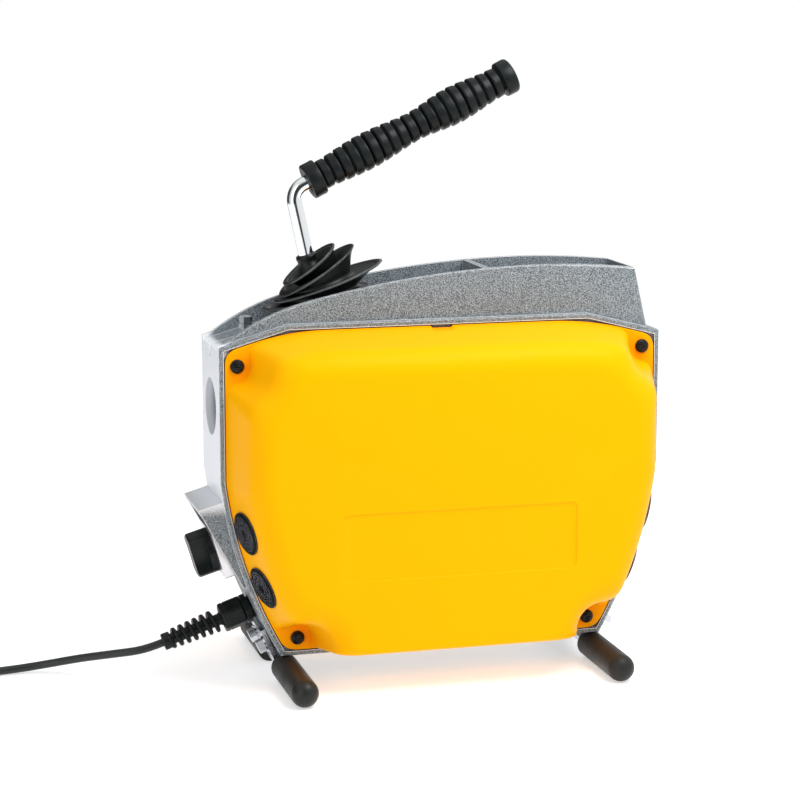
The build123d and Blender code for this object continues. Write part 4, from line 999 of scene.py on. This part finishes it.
# Floor, light and background
floorSpec = {"half": 1.8, "colour": (0.82, 0.82, 0.83, 1), "glow": 0.5, "rough": 0.35, "specular": 0.3}
half = floorSpec["half"]
floorMesh = bpy.data.meshes.new("studioFloor")
floorMesh.from_pydata(
    [(-half, -half, 0), (half, -half, 0), (half, half, 0), (-half, half, 0)], [], [(0, 1, 2, 3)],
)
floorMaterial, _, floorShader = newMaterial("floorWhite", specular=floorSpec["specular"])
floorShader.inputs["Base Color"].default_value = floorSpec["colour"]
floorShader.inputs["Emission Color"].default_value = (1, 1, 1, 1)
floorShader.inputs["Emission Strength"].default_value = floorSpec["glow"]
floorShader.inputs["Roughness"].default_value = floorSpec["rough"]
floorMesh.materials.append(floorMaterial)
addObject("studioFloor", floorMesh)

studioSky = {
    "strength": 0.5,
    "share": 0.5,  # how much of a stop's brightness the ramps hold; the strength makes up for it
    "ceiling": (0.35, 0.8),  # tip heights over which the boxes give way to an even ceiling
    # degrees round from the near side, towards the rear end, and brightness: tall soft boxes with dark gaps
    "round": [
        (-180, 0.3), (-150, 0.15), (-102, 0.15), (-96, 1.3), (-70, 1.5), (-62, 4.2), (-36, 4.2), (-29, 0.1),
        (12, 0.1), (20, 1.9), (95, 2.1), (150, 1.8), (180, 0.3),
    ],
    # height of the direction's tip above the horizon and brightness
    "up": [(-1, 1.0), (0, 0.95), (0.3, 0.95), (0.7, 1.6), (1, 2.0)],
}


def rampOf(tree, source, stops, low, high):  # greys that follow the stops, which run from low to high
    ramp = newNode(tree, "ValToRGB")
    wire(tree, source, "Result", ramp, "Fac")
    elements = ramp.color_ramp.elements
    while len(elements) < len(stops):
        elements.new(0.5)
    for element, (stop, brightness) in zip(elements, stops):
        element.position = (stop - low) / (high - low)
        element.color = (*[brightness * studioSky["share"]] * 3, 1)
    return ramp


def makeSky():
    # White to the camera; to everything else, boxes round the horizon under a brighter ceiling
    world = bpy.data.worlds.new("studioSky")
    bpy.context.scene.world = world
    world.use_nodes = True
    tree = world.node_tree
    sky = tree.nodes["Background"]
    axes = newNode(tree, "SeparateXYZ")
    placeTexture(tree, axes, "Generated")
    near = newNode(tree, "Math", {1: -1.0}, operation="MULTIPLY")
    wire(tree, axes, "Y", near, 0)
    turn = newNode(tree, "Math", operation="ARCTAN2")
    wire(tree, axes, "X", turn, 0)
    wire(tree, near, 0, turn, 1)
    turned = newNode(tree, "MapRange", {"From Min": -math.pi, "From Max": math.pi})
    wire(tree, turn, 0, turned, "Value")
    around = rampOf(tree, turned, studioSky["round"], -180, 180)
    ceiling = mapRange(tree, axes, "Z", *studioSky["ceiling"])
    evened = newNode(tree, "Mix", data_type="RGBA")
    wire(tree, ceiling, "Result", evened, 0)
    wire(tree, around, "Color", evened, 6)
    evened.inputs[7].default_value = (*[studioSky["share"]] * 3, 1)
    raised = newNode(tree, "MapRange", {"From Min": -1.0, "From Max": 1.0})
    wire(tree, axes, "Z", raised, "Value")
    upward = rampOf(tree, raised, studioSky["up"], -1, 1)
    product = newNode(tree, "Mix", data_type="RGBA", blend_type="MULTIPLY")
    product.inputs[0].default_value = 1.0
    wire(tree, evened, 2, product, 6)
    wire(tree, upward, "Color", product, 7)
    wire(tree, product, 2, sky, "Color")
    sky.inputs["Strength"].default_value = studioSky["strength"] / studioSky["share"] ** 2
    plain = newNode(tree, "Background")
    plain.inputs["Color"].default_value = (1, 1, 1, 1)
    rays = newNode(tree, "LightPath")
    choice = newNode(tree, "MixShader")
    wire(tree, rays, "Is Camera Ray", choice, 0)
    tree.links.new(sky.outputs[0], choice.inputs[1])
    tree.links.new(plain.outputs[0], choice.inputs[2])
    tree.links.new(choice.outputs[0], tree.nodes["World Output"].inputs["Surface"])


makeSky()

keyLight = {"place": (0.3, -0.42, 0.98), "aim": (0.0, -0.05, 0.3), "size": 0.5, "power": 6.5}


def makeKeyLight():  # one large soft box over the near side
    data = bpy.data.lights.new("keyLight", "AREA")
    data.size, data.energy = keyLight["size"], keyLight["power"]
    light = addObject("keyLight", data)
    light.location = keyLight["place"]
    way = mathutils.Vector(keyLight["aim"]) - light.location
    light.rotation_euler = way.to_track_quat("-Z", "Y").to_euler()


makeKeyLight()
bpy.context.scene.view_settings.view_transform = "Standard"
print("studio lit")
